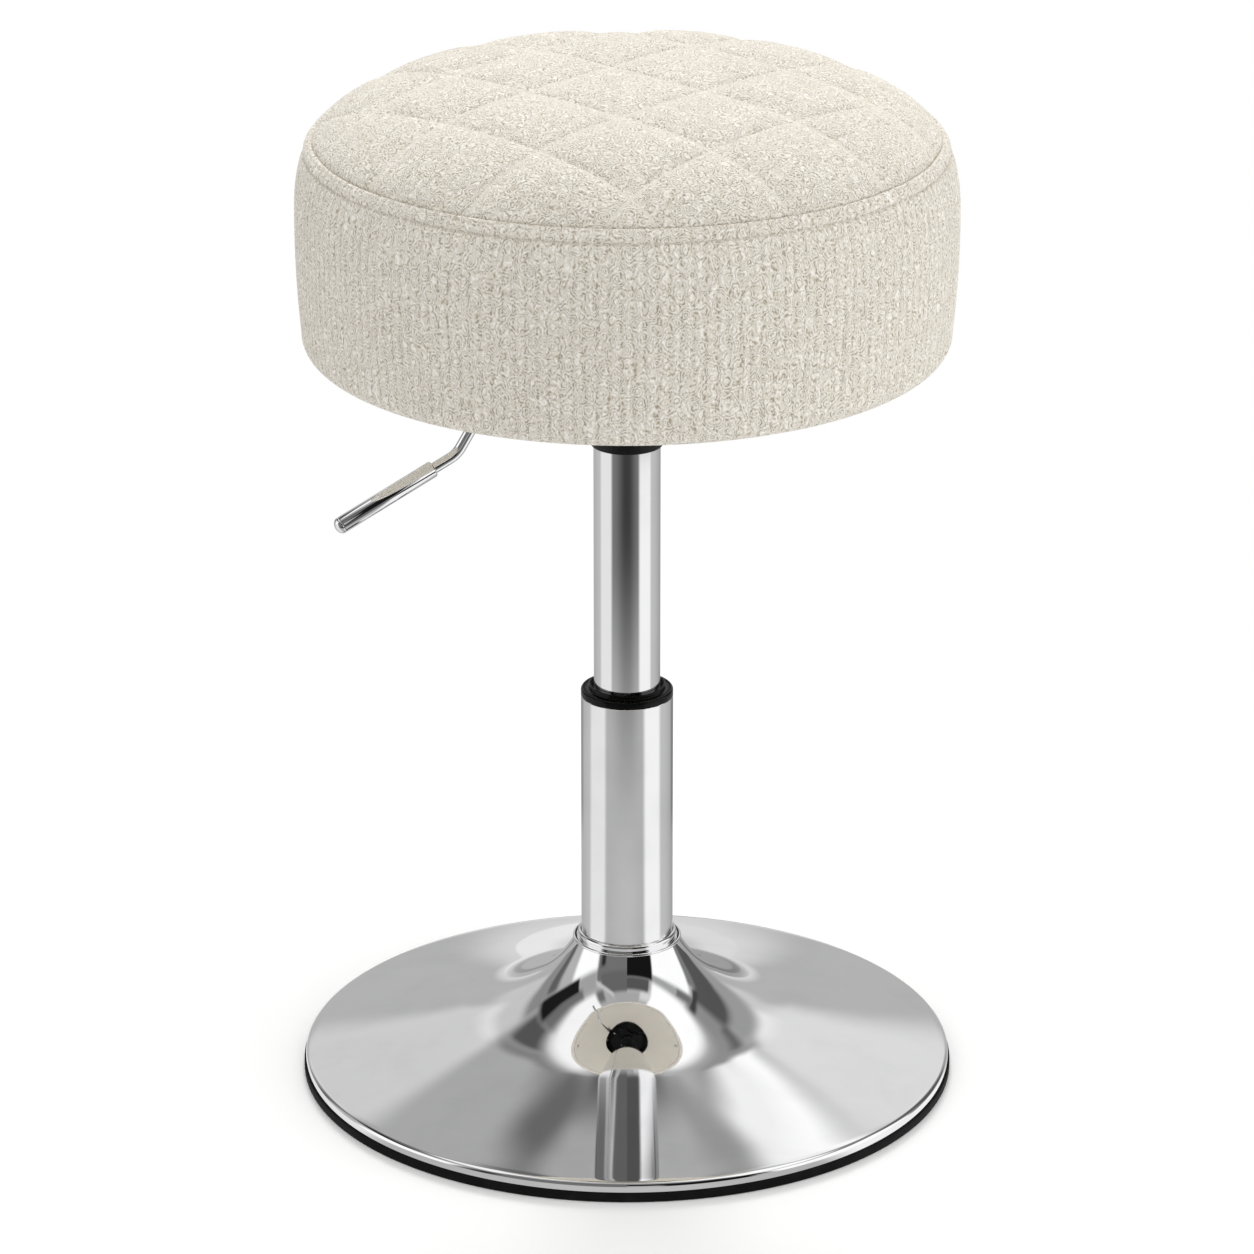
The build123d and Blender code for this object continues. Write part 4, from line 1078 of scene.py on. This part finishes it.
@dataclass
class QuiltedSeat:
    """Drum seat: quilted crown, side band with a sewn roll along its top edge, and its stitches."""

    bottom: float = 451.0
    seam_radius: float = 180.2
    seam_height: float = 575.1
    crown_rise: float = 35.0
    crown_power: float = 4.55
    crown_fall: float = 0.84
    belly_radius: float = 189.2
    belly_height: float = 524.1
    belly_curve: float = 0.0008
    shoulder_depth: float = 9.05
    shoulder_height: float = 51.0
    shoulder_power: float = 3.23
    pile_proud: float = 0.05
    hem_round: float = 12.0
    hem_radius: float = 186.4
    hem_inner: float = 169.9
    roll_height: float = 7.2
    quilt_depth: float = 5.2
    swell_cap: float = 3.0
    crease_share: float = 0.55
    crease_width: float = 2.0
    hollow_width: float = 12.0
    edge_fade: float = 45.0
    seam_sink: float = 1.6
    seam_width: float = 1.6
    hold_width: float = 3.5
    rim_hold: float = 6.0
    pressure: float = 4.0
    cloth_frames: int = 20
    wadding: float = 3.0
    rib_depth: float = 0.22
    roll_puff: float = 1.1
    roll_foot: float = 4.0
    fold_round: float = 2.0
    fold_drop: float = 0.4
    seam_gap: float = 0.3
    seam_tuck: float = 3.2
    hem_thick: float = 2.4
    lining: tuple[tuple[float, float], ...] = ((181.0, 465.0), (184.0, 500.0), (186.0, 524.0), (183.5, 552.0))
    sways: tuple[tuple[float, int, float], ...] = ((0.18, 5, 0.7), (0.14, 11, 2.1))
    stitch_dent: float = 0.8
    dent_width: float = 1.1
    points_per_wale: int = 5
    stitches: int = 208
    stitch_length: float = 4.1
    stitch_sink: float = 0.45
    stitch_dip: float = 0.3
    thread: float = 0.42
    cells: int = 208
    cloth_cells: int = 104

    def disc(self, cells: int) -> tuple[Array, Array]:
        """Even grid over the crown's disc: a square grid whose squares round the middle become circles.

        A grid point (u, v) goes to radius max(|u|, |v|), at the angle a quarter turn times the share of the
        smaller one in the larger.

        Args:
            cells: Cells along each side.

        Returns:
            X and Y of the grid's points.
        """
        u, v = np.meshgrid(*[np.linspace(-1.0, 1.0, cells + 1)] * 2, indexing="ij")
        wide = np.abs(u) > np.abs(v)
        safe_u, safe_v = np.where(u == 0, 1.0, u), np.where(v == 0, 1.0, v)
        radius = np.where(wide, u, v) * self.seam_radius
        angle = np.where(wide, math.pi / 4 * v / safe_u, math.pi / 2 - math.pi / 4 * u / safe_v)
        return radius * np.cos(angle), radius * np.sin(angle)

    def sewn(self, x: Array, y: Array) -> Array:
        """Distances to the nearest sewn line of each direction.

        Args:
            x: X of the points in plan.
            y: Y of the points in plan.

        Returns:
            One array of distances for each direction, in millimetres.
        """
        gaps = []
        for lines in QUILTING:
            normal = math.radians(lines.normal)
            across = x * math.cos(normal) + y * math.sin(normal)
            gaps.append(np.abs(across[..., None] - np.array(lines.offsets)).min(axis=-1))
        return np.stack(gaps)

    def crown(self, x: Array, y: Array) -> Array:
        """Points of the quilted crown.

        The crown rises by crown_rise * (1 - (r / seam)^power)^fall over the seam. Along its normal it sinks
        towards each sewn line by a narrow crease and a broad hollow, and over the last millimetres it
        rolls into the seam.

        Args:
            x: X of the points in plan.
            y: Y of the points in plan.

        Returns:
            Points of the crown, in millimetres.
        """
        r = np.hypot(x, y)
        share = np.clip(r / self.seam_radius, 0.0, 0.9995)
        inside = 1.0 - share**self.crown_power
        height = self.seam_height + self.crown_rise * inside**self.crown_fall
        slope = (
            -self.crown_rise * self.crown_fall * inside ** (self.crown_fall - 1.0)
            * self.crown_power * share ** (self.crown_power - 1.0) / self.seam_radius
        )
        gaps = self.sewn(x, y)
        narrow, broad = np.exp(-gaps / self.crease_width), np.exp(-((gaps / self.hollow_width) ** 2))
        crease = self.crease_share * narrow + (1.0 - self.crease_share) * broad
        sunk = 1.0 - (1.0 - crease[0]) * (1.0 - crease[1])
        fade = 0.25 + 0.75 * np.clip((self.seam_radius - r) / self.edge_fade, 0.0, 1.0)
        roll = np.exp(-(self.seam_radius - r) / self.seam_width)
        lift = -self.quilt_depth * sunk * fade - self.seam_sink * roll
        ease = 1.0 / np.sqrt(1.0 + slope**2)
        outward = -slope * ease / np.maximum(r, 1e-6)
        return np.stack([x + outward * x * lift, y + outward * y * lift, height + ease * lift], -1)

    def puffed(self, start: Array) -> Array:
        """How the quilted top swells under the pressure of its wadding, held along its sewn lines.

        Args:
            start: Grid of the crown's points before it swells.

        Returns:
            Moves of the grid's points, in millimetres, at most a few long.
        """
        rows, columns, _ = start.shape
        points = start.reshape(-1, 3)
        mesh = bpy.data.meshes.new("quilt_cloth")
        faces = grid_faces(rows, columns, False, False)[:, ::-1]
        mesh.from_pydata((points * MM).tolist(), [], faces.tolist())
        cloth = placed("quilt_cloth", mesh)
        near = self.sewn(points[:, 0], points[:, 1]).min(axis=0)
        edge = self.seam_radius - np.hypot(points[:, 0], points[:, 1])
        hold = np.maximum(np.exp(-((near / self.hold_width) ** 2)), np.exp(-((edge / self.rim_hold) ** 2)))
        group = cloth.vertex_groups.new(name="sewn")
        for level in range(1, 11):
            members = np.flatnonzero(np.round(hold * 10) == level)
            group.add(members.tolist(), level / 10, "REPLACE")
        modifier = cloth.modifiers.new("swell", "CLOTH")
        modifier.settings.vertex_group_mass = "sewn"
        modifier.settings.use_pressure = True
        modifier.settings.uniform_pressure_force = self.pressure
        modifier.settings.effector_weights.gravity = 0.0
        modifier.point_cache.frame_start = 1
        modifier.point_cache.frame_end = self.cloth_frames
        scene = bpy.context.scene
        for step in range(1, self.cloth_frames + 1):
            scene.frame_set(step)
        moved = np.zeros(len(points) * 3, np.float32)
        solved = cloth.evaluated_get(bpy.context.evaluated_depsgraph_get())
        solved.data.vertices.foreach_get("co", moved)
        move = moved.reshape(-1, 3).astype(float) / MM - points
        length = np.linalg.norm(move, axis=1, keepdims=True)
        move *= self.swell_cap * np.tanh(length / self.swell_cap) / np.maximum(length, 1e-9)
        swell = np.linalg.norm(move, axis=1).max()
        LOG.info("quilt swelled by %.2f mm, %.2f mm before its cap", swell, length.max())
        scene.frame_set(1)
        bpy.data.objects.remove(cloth)
        bpy.data.meshes.remove(mesh)
        return move.reshape(rows, columns, 3)

    def finer(self, grid: Array, cells: int) -> Array:
        """Read a coarse grid at the points of a finer one, straight between its points.

        Args:
            grid: The coarse grid's values.
            cells: Cells along each side of the finer grid.

        Returns:
            Values at the finer grid's points.
        """
        old = np.linspace(0.0, 1.0, grid.shape[0])
        new = np.linspace(0.0, 1.0, cells + 1)
        at = np.clip(np.searchsorted(old, new, side="right") - 1, 0, len(old) - 2)
        part = ((new - old[at]) / (old[at + 1] - old[at]))[:, None, None]
        rows = grid[at] * (1 - part) + grid[at + 1] * part
        part = part.reshape(1, -1, 1)
        return rows[:, at] * (1 - part) + rows[:, at + 1] * part

    def build_top(self) -> None:
        """Make the quilted top as a closed pad: crown above, flat wadding below."""
        points = self.crown(*self.disc(self.cells))
        points = points + self.finer(self.puffed(self.crown(*self.disc(self.cloth_cells))), self.cells)
        rise = points[..., 2] - self.seam_height
        points[..., 2] = self.seam_height + rise * np.where(rise > 0, self.crown_rise / rise.max(), 1.0)
        side = self.cells + 1
        number = np.arange(side * side).reshape(side, side)
        rim = np.concatenate([number[0, :-1], number[:-1, -1], number[-1, :0:-1], number[:0:-1, 0]])
        edge = points.reshape(-1, 3)[rim]
        shares = np.array([0.985, 0.9, 0.5])[:, None, None]
        floor = edge * np.array([1.0, 1.0, 0.0]) * shares
        base = self.seam_height - self.wadding
        floor[..., 2] = np.array([base + 1.0, base, base])[:, None]
        whole = np.concatenate([points.reshape(-1, 3), floor.reshape(-1, 3), [[0, 0, base]]])
        count = len(rim)
        loops = np.concatenate([rim[None], side * side + np.arange(3 * count).reshape(3, count)])
        after = np.roll(loops, -1, axis=1)
        under = np.stack([loops[:-1], loops[1:], after[1:], after[:-1]], -1).reshape(-1, 4)
        middle = np.full(count, len(whole) - 1)
        fan = np.stack([loops[-1], middle, after[-1]], -1)
        quads = np.concatenate([grid_faces(side, side, False, False)[:, ::-1], under[:, ::-1]])
        top = make_piece("seat_quilted_top", whole, quads, fan[:, ::-1], 180.0)
        settle(top, TOP_FABRIC, "seat", "seat_fabric", "seat_top_cover", "seat_foam")

    def side(self, height: Array) -> Array:
        """Radius of the drum's side: a parabola below the belly and a fuller curve above it.

        Args:
            height: Heights over the floor.

        Returns:
            The radius at each height.
        """
        over = height - self.belly_height
        below = self.belly_curve * over**2
        above = self.shoulder_depth * np.abs(over / self.shoulder_height) ** self.shoulder_power
        return self.belly_radius + self.pile_proud - np.where(over < 0, below, above)

    def stitch_height(self) -> float:
        """Height of the row of stitches under the roll."""
        return self.seam_height - self.roll_height

    def build_band(self) -> None:
        """Make the side band: folded into the seam, rolled, dented by its stitches, ribbed, turned under."""
        top, sewn = self.seam_height - self.seam_gap, self.stitch_height()
        foot = sewn - self.roll_foot
        rolled = np.linspace(top - self.fold_drop, foot, 22)[1:]
        plain = np.linspace(foot, self.bottom + self.hem_round, 44)[1:]
        height = np.concatenate([rolled, plain])
        radius = self.side(height)
        puff = np.clip((height - sewn) / self.roll_height, 0.0, 1.0)
        dent = np.exp(-(((height - sewn) / self.dent_width) ** 2))
        radius = radius + self.roll_puff * np.sin(math.pi * puff) - self.stitch_dent * dent
        outer = np.stack([radius, height], -1)
        bend = self.fold_round
        fold = arc((radius[0] - bend, height[0] - self.fold_drop), bend, 95, 25, 6)
        turn = self.hem_round
        corner = arc((self.hem_radius - turn, self.bottom + turn), turn, 0, -90, 12)[1:]
        tuck = self.seam_radius - self.seam_tuck
        hem = [(self.hem_inner, self.bottom), (self.hem_inner, self.bottom + self.hem_thick)]
        back = [*hem, *self.lining, (tuck, top - 2.5)]
        profile = np.concatenate([[(tuck, top - 0.6)], fold, outer, corner, back])
        turns = WALES * self.points_per_wale
        angle = circle(turns)
        outside = np.arange(len(profile)) < 1 + len(fold) + len(outer) + len(corner) // 2
        ribbed = np.clip((sewn - 2.0 - profile[:, 1]) / 4.0, 0.0, 1.0) * outside
        sway = sum(depth * np.sin(waves * angle + phase) for depth, waves, phase in self.sways)
        bulge = np.sin(math.pi * np.clip((profile[:, 1] - self.bottom) / (top - self.bottom), 0, 1))
        ribs = self.rib_depth * ribbed[:, None] * np.cos(WALES * angle)
        ribs = ribs + (bulge * outside)[:, None] * sway
        points = about_axis(profile[:, :1] + ribs, angle, profile[:, 1:])
        quads = grid_faces(len(profile), turns, True, True)
        band = make_piece("seat_side_cover", points, quads, crease=180.0)
        settle(band, BAND_FABRIC, "seat", "seat_fabric", "seat_side_band", "edge_foam")

    def build_stitches(self) -> None:
        """Make the row of stitches: short spindles of thread laid end to end in the dent under the roll."""
        count, rings, sides = self.stitches, 5, 6
        along = np.linspace(-1.0, 1.0, rings)
        swell = self.thread * np.sqrt(np.clip(1.05 - along**2, 0.02, 1.0))
        turn = circle(sides)
        radius = float(self.side(np.array([self.stitch_height()]))[0]) - self.stitch_sink
        angle = circle(count)[:, None, None] + (along * self.stitch_length / 2 / radius)[None, :, None]
        out = radius + (swell[:, None] * np.cos(turn))[None] - (self.stitch_dip * along**2)[None, :, None]
        up = self.stitch_height() + (swell[:, None] * np.sin(turn))[None]
        points = about_axis(out, angle, up)
        first = (np.arange(count) * rings * sides)[:, None, None]
        quads = (grid_faces(rings, sides, False, True)[None] + first).reshape(-1, 4)
        fan = np.array([(0, k + 1, k) for k in range(1, sides - 1)])
        far = (rings - 1) * sides + fan[:, ::-1]
        tris = (np.concatenate([fan, far])[None] + first).reshape(-1, 3)
        stitches = make_piece("seat_topstitch", points, quads, tris, 180.0)
        settle(stitches, SEAM_THREAD, "seat", "seat_fabric")

    def build(self) -> None:
        """Make the whole seat cover."""
        self.build_top()
        self.build_band()
        self.build_stitches()


@dataclass
class CarriedParts:
    """Solids that stay as they are and get the finish of their slot."""

    def dress(self) -> None:
        """Give every solid that still shows its material."""
        for part in frame["record"]["subparts"]:
            node = frame["nodes"][part["node"]]
            node.data.materials.clear()
            node.data.materials.append(SLOT_FINISHES[part["material_slot"]].material())
            LOG.info("%s: dressed as %s", node.name, part["material_slot"])


# Studio

@dataclass(frozen=True)
class SoftBox:
    """A light or dark patch that the chrome mirrors: its bearing and its height, in degrees.

    Its height may change with the bearing, by tilt degrees for each degree past its middle.
    """

    left: float
    right: float
    low: float
    high: float
    level: float
    soft: float = 4.0
    tilt: float = 0.0


@dataclass(frozen=True)
class PaleFloor(Finish):
    """Pale floor: lit near the stool, so that shadows stay, and white by itself further off."""

    white: float = 0.94
    glow: float = 0.05
    shadow_near: float = 0.26
    shadow_far: float = 0.8
    soft: float = 6.0

    def levels(self, shade: Shade) -> Value:
        """What the chrome sees of the floor: bright to both sides, darker far off towards the camera.

        Bearing 0 is straight towards the camera.

        Args:
            shade: The node tree to write in.

        Returns:
            Brightness by bearing and distance.
        """
        x = shade.split(shade.place())
        bearing = x.maths("ARCTAN2", x, x.out("Y") * -1.0) * DEGREES
        away = shade.away(x)
        core = shade.ramp(bearing, -48.0, -4.0) * shade.ramp(bearing, 4.0, 42.0, 1.0, 0.0)
        side = shade.ramp(away, 0.55, 0.95, 0.5, 0.2)
        front = core * (shade.ramp(away, 0.25, 1.0, 0.56, 0.05) - side) + side
        behind = shade.ramp(bearing, -150.0, -100.0, 0.36, 0.46)
        behind = behind + shade.ramp(bearing, 95.0, 165.0, 0.12, -0.1)
        turned = x.maths("ABSOLUTE", bearing)
        edge = shade.ramp(turned, 134.0, 146.0) * shade.ramp(turned, 160.0, 172.0, 1.0, 0.0)
        edge = edge * shade.ramp(away, 0.34, 0.42) * shade.ramp(away, 0.58, 0.68, 1.0, 0.0)
        straight = shade.ramp(turned, 164.0, 174.0) * shade.ramp(away, 0.25, 0.8, 0.0, 0.4)
        level = behind - 0.16 * edge + straight
        right_white = shade.ramp(away, 1.08, 1.3, 1.02, 0.04)
        for left, right, patch in ((-101.0, -53.0, 0.88), (-53.0, 43.0, front), (43.0, 88.0, right_white)):
            mask = shade.between(bearing, left, right, self.soft)
            level = mask * (patch - level) + level
        return level

    def look(self, shade: Shade) -> Value:
        """Matt that turns into a glow with the distance, and levels of grey to the chrome.

        Args:
            shade: The node tree to write in.

        Returns:
            The finished shader.
        """
        matt = shade.node("ShaderNodeBsdfDiffuse", {}, {"Color": (*[self.white] * 3, 1.0)})
        glow = shade.node("ShaderNodeEmission", {}, {"Strength": 1.0})
        away = shade.away(shade.split(shade.place()))
        share = shade.ramp(away, self.shadow_near, self.shadow_far, self.glow, 1.0)
        lit = shade.blend(shade.seen(), matt, shade.blend(share, matt, glow))
        mirror = shade.node("ShaderNodeEmission", {}, {"Strength": self.levels(shade)})
        return shade.blend(shade.mirrored(), lit, mirror)


@dataclass
class Studio:
    """White floor and surround, soft lights, what the chrome mirrors, and the camera."""

    camera_place: Place = (0.0, -3.2314, 1.50996)
    camera_pitch: float = 20.871
    lens: float = 169.89
    sky_level: float = 0.74
    surround: float = 0.48
    floor_half: float = 14000.0
    floor_depth: float = 20.0
    sensor: float = 36.0
    sight: float = 100.0

    def boxes(self) -> list[SoftBox]:
        """Patches above the floor, later ones over earlier ones. Bearing 0 is straight behind the stool."""
        return [
            # Ceiling, then the wall and its window to the left of the camera
            SoftBox(-300, 300, 61.5, 100, 0.43, 2.5),
            SoftBox(-300, -118, -20, 47, 0.18, 2.5),
            SoftBox(-300, -126, 40, 60.5, 0.145, 3),
            SoftBox(-152, -114, 54, 90, 0.45, 3, -0.5),
            SoftBox(-150, -116, 52.5, 57, 0.62, 2.5, -0.5),
            SoftBox(-129, -115, 55, 66, 0.17, 3.5),
            SoftBox(-134, -125, -20, 33, 0.03, 3),
            SoftBox(-116, -88, 36, 52, 0.4, 4),
            # Large boxes overhead, and the upright boxes to both sides
            SoftBox(-112, -12, 56, 100, 1.05, 3.5),
            SoftBox(12, 128, 53, 100, 1.15, 3.5, -0.08),
            SoftBox(126, 150, 58.5, 68, 0.75, 4),
            SoftBox(66, 128, -20, 41.5, 1.15, 3),
            SoftBox(-86, -52, -20, 33, 0.5, 8),
            SoftBox(-118, -75, -20, 34.5, 1.15, 4),
            # Light and dark cards behind the stool
            SoftBox(-56, -44, -30, 34, 0.13, 4),
            SoftBox(-45, -36, -30, 38, 0.28, 3),
            SoftBox(-35, -6, 11, 37.5, 0.63, 3),
            SoftBox(-25, -6, 21, 36.5, 0.82, 3),
            SoftBox(6, 27, 11, 38, 0.65, 3),
            SoftBox(8, 25, 24, 37.5, 0.92, 3),
            SoftBox(26, 36, -30, 43, 0.36, 3),
            SoftBox(36, 60, -30, 47, 0.1, 3),
            SoftBox(57, 66, -30, 33, 0.22, 3),
            # Dark bars between the upright and the overhead boxes
            SoftBox(14, 66, 44, 53, 0.3, 3.5),
            SoftBox(24, 38, 43, 47, 0.15, 2),
            SoftBox(56, 62, 35, 52, 0.06, 2),
            SoftBox(62, 84, 43, 49.5, 0.18, 2.5),
            SoftBox(84, 126, 43, 47.5, 0.42, 2, -0.08),
            SoftBox(-92, -44, 46, 55, 0.17, 3.5),
            SoftBox(-44, -27, 40, 53, 0.1, 3),
            SoftBox(-27, -5, 39, 53.5, 0.25, 3),
            SoftBox(5, 24, 39.5, 50, 0.32, 3),
            SoftBox(-86.5, -44, 35, 47.5, 0.012, 2.2),
            # Dark wall to the right of the camera
            SoftBox(127.5, 300, 19, 46.5, 0.008, 2.5),
            SoftBox(136, 168, -20, 21, 0.008, 2.5),
            SoftBox(134, 300, 46, 58.5, 0.1, 2.5),
            # Close cards behind the stool that the dish mirrors: left, right, low and straight behind
            SoftBox(-20, -3.5, 5, 20, 0.5, 3),
            SoftBox(-20, -4, 20, 37, 0.68, 3),
            SoftBox(-21, -8, 37, 49, 0.44, 2.5),
            SoftBox(-12.2, -7.2, 47, 54, 0.15, 2),
            SoftBox(-7, -2.5, 45, 51.5, 0.42, 1.5),
            SoftBox(-8, -2.5, 52.5, 57, 0.13, 2),
            SoftBox(3.5, 20, 5, 20, 0.5, 3),
            SoftBox(4, 20, 20, 40, 0.8, 4),
            SoftBox(5, 21, 40.5, 46.5, 1.12, 2),
            SoftBox(10.7, 18, 44, 49, 1.0, 2),
            SoftBox(7.2, 10.5, 46, 54, 0.35, 1.5),
            SoftBox(2.5, 7, 45, 52, 0.45, 1.5),
            SoftBox(2.5, 8, 52.5, 57, 0.2, 2),
            SoftBox(-20, 20, -20, 2.5, 0.72, 2.5),
            SoftBox(-4, 4, 13, 40, 0.03, 1.5),
        ]

    def patch(self, shade: Shade, bearing: Value, height: Value, box: SoftBox, level: Any) -> Value:
        """Lay one patch over a level, with soft edges.

        Args:
            shade: The node tree to write in.
            bearing: Bearing of the view, in degrees.
            height: Its height over the horizon, in degrees.
            box: The patch.
            level: Brightness so far.

        Returns:
            Brightness with the patch.
        """
        if box.tilt:
            height = height - box.tilt * (bearing - (box.left + box.right) / 2)
        across = shade.between(bearing, box.left, box.right, box.soft)
        mask = across * shade.between(height, box.low, box.high, box.soft)
        return mask * (box.level - level) + level

    def build_world(self) -> None:
        """White to the camera, patches to the chrome, even soft light to all else."""
        world = bpy.data.worlds.new("studio")
        bpy.context.scene.world = world
        world.use_nodes = True
        shade = Shade(world.node_tree)
        x = shade.split(shade.node("ShaderNodeTexCoord", output="Generated"))
        bearing = x.maths("ARCTAN2", x, x.out("Y")) * DEGREES
        height = x.maths("ARCSINE", x.out("Z")) * DEGREES
        level: Any = self.surround
        for box in self.boxes():
            level = self.patch(shade, bearing, height, box, level)
        seen, mirror, light = (
            shade.node("ShaderNodeBackground", {}, {"Color": (1, 1, 1, 1), "Strength": strength})
            for strength in (1.0, level, self.sky_level)
        )
        lit = shade.blend(shade.mirrored(), light, mirror)
        shade.node("ShaderNodeOutputWorld", {}, {"Surface": shade.blend(shade.seen(), lit, seen)})

    def build_floor(self) -> None:
        """Make the floor as a wide slab, its upper face at no height."""
        half = self.floor_half
        slab = np.array([(-half, -half), (half, -half), (half, half), (-half, half)])
        points = np.concatenate([np.c_[slab, np.zeros(4)], np.c_[slab, np.full(4, -self.floor_depth)]])
        quads = np.array([(0, 1, 2, 3), (7, 6, 5, 4), (0, 4, 5, 1), (1, 5, 6, 2), (2, 6, 7, 3), (3, 7, 4, 0)])
        floor = make_piece("studio_floor", points, quads)
        floor.data.materials.append(PaleFloor("floor_white").material())

    def lamp(self, name: str, place: Place, aim: Place, size: float, power: float) -> None:
        """Add a soft square lamp that chrome doesn't mirror.

        Args:
            name: The lamp's name.
            place: Where it hangs, in metres.
            aim: The point that it faces.
            size: Its side, in metres.
            power: Its power in watts.
        """
        data = bpy.data.lights.new(name, "AREA")
        data.size = size
        data.energy = power
        made = placed(name, data)
        away = np.array(place) - np.array(aim)
        made.location = place
        made.rotation_euler = (
            math.atan2(math.hypot(away[0], away[1]), away[2]),
            0.0,
            math.atan2(away[0], -away[1]),
        )
        made.visible_glossy = False

    def build_camera(self) -> None:
        """Place the camera at the photograph's height, distance and tilt."""
        data = bpy.data.cameras.new("camera")
        data.lens = self.lens
        data.sensor_width = self.sensor
        data.clip_end = self.sight
        made = placed("camera", data)
        made.location = self.camera_place
        made.rotation_euler = (math.radians(90.0 - self.camera_pitch), 0.0, 0.0)
        bpy.context.scene.camera = made

    def build(self) -> None:
        """Make the whole studio."""
        bpy.context.scene.view_settings.view_transform = "Standard"
        self.build_world()
        self.build_floor()
        self.lamp("back", place=(-0.05, 2.1, 2.3), aim=(0.0, 0.0, 0.5), size=0.9, power=38.0)
        self.lamp("above", place=(0.0, -0.3, 2.6), aim=(0.0, 0.0, 0.5), size=1.2, power=11.0)
        self.lamp("right", place=(2.4, -0.5, 0.5), aim=(0.0, 0.0, 0.45), size=0.8, power=11.5)
        self.build_camera()


def main() -> None:
    """Build the stool's sub-assemblies in order, then the studio."""
    logging.basicConfig(level=logging.INFO, format="%(name)s: %(message)s")
    CarriedParts().dress()
    for assembly in (TrumpetBase(), LiftColumn(), HandLever(), QuiltedSeat()):
        LOG.info("building %s", type(assembly).__name__)
        assembly.build()
    Studio().build()


if __name__ == "__main__":
    main()
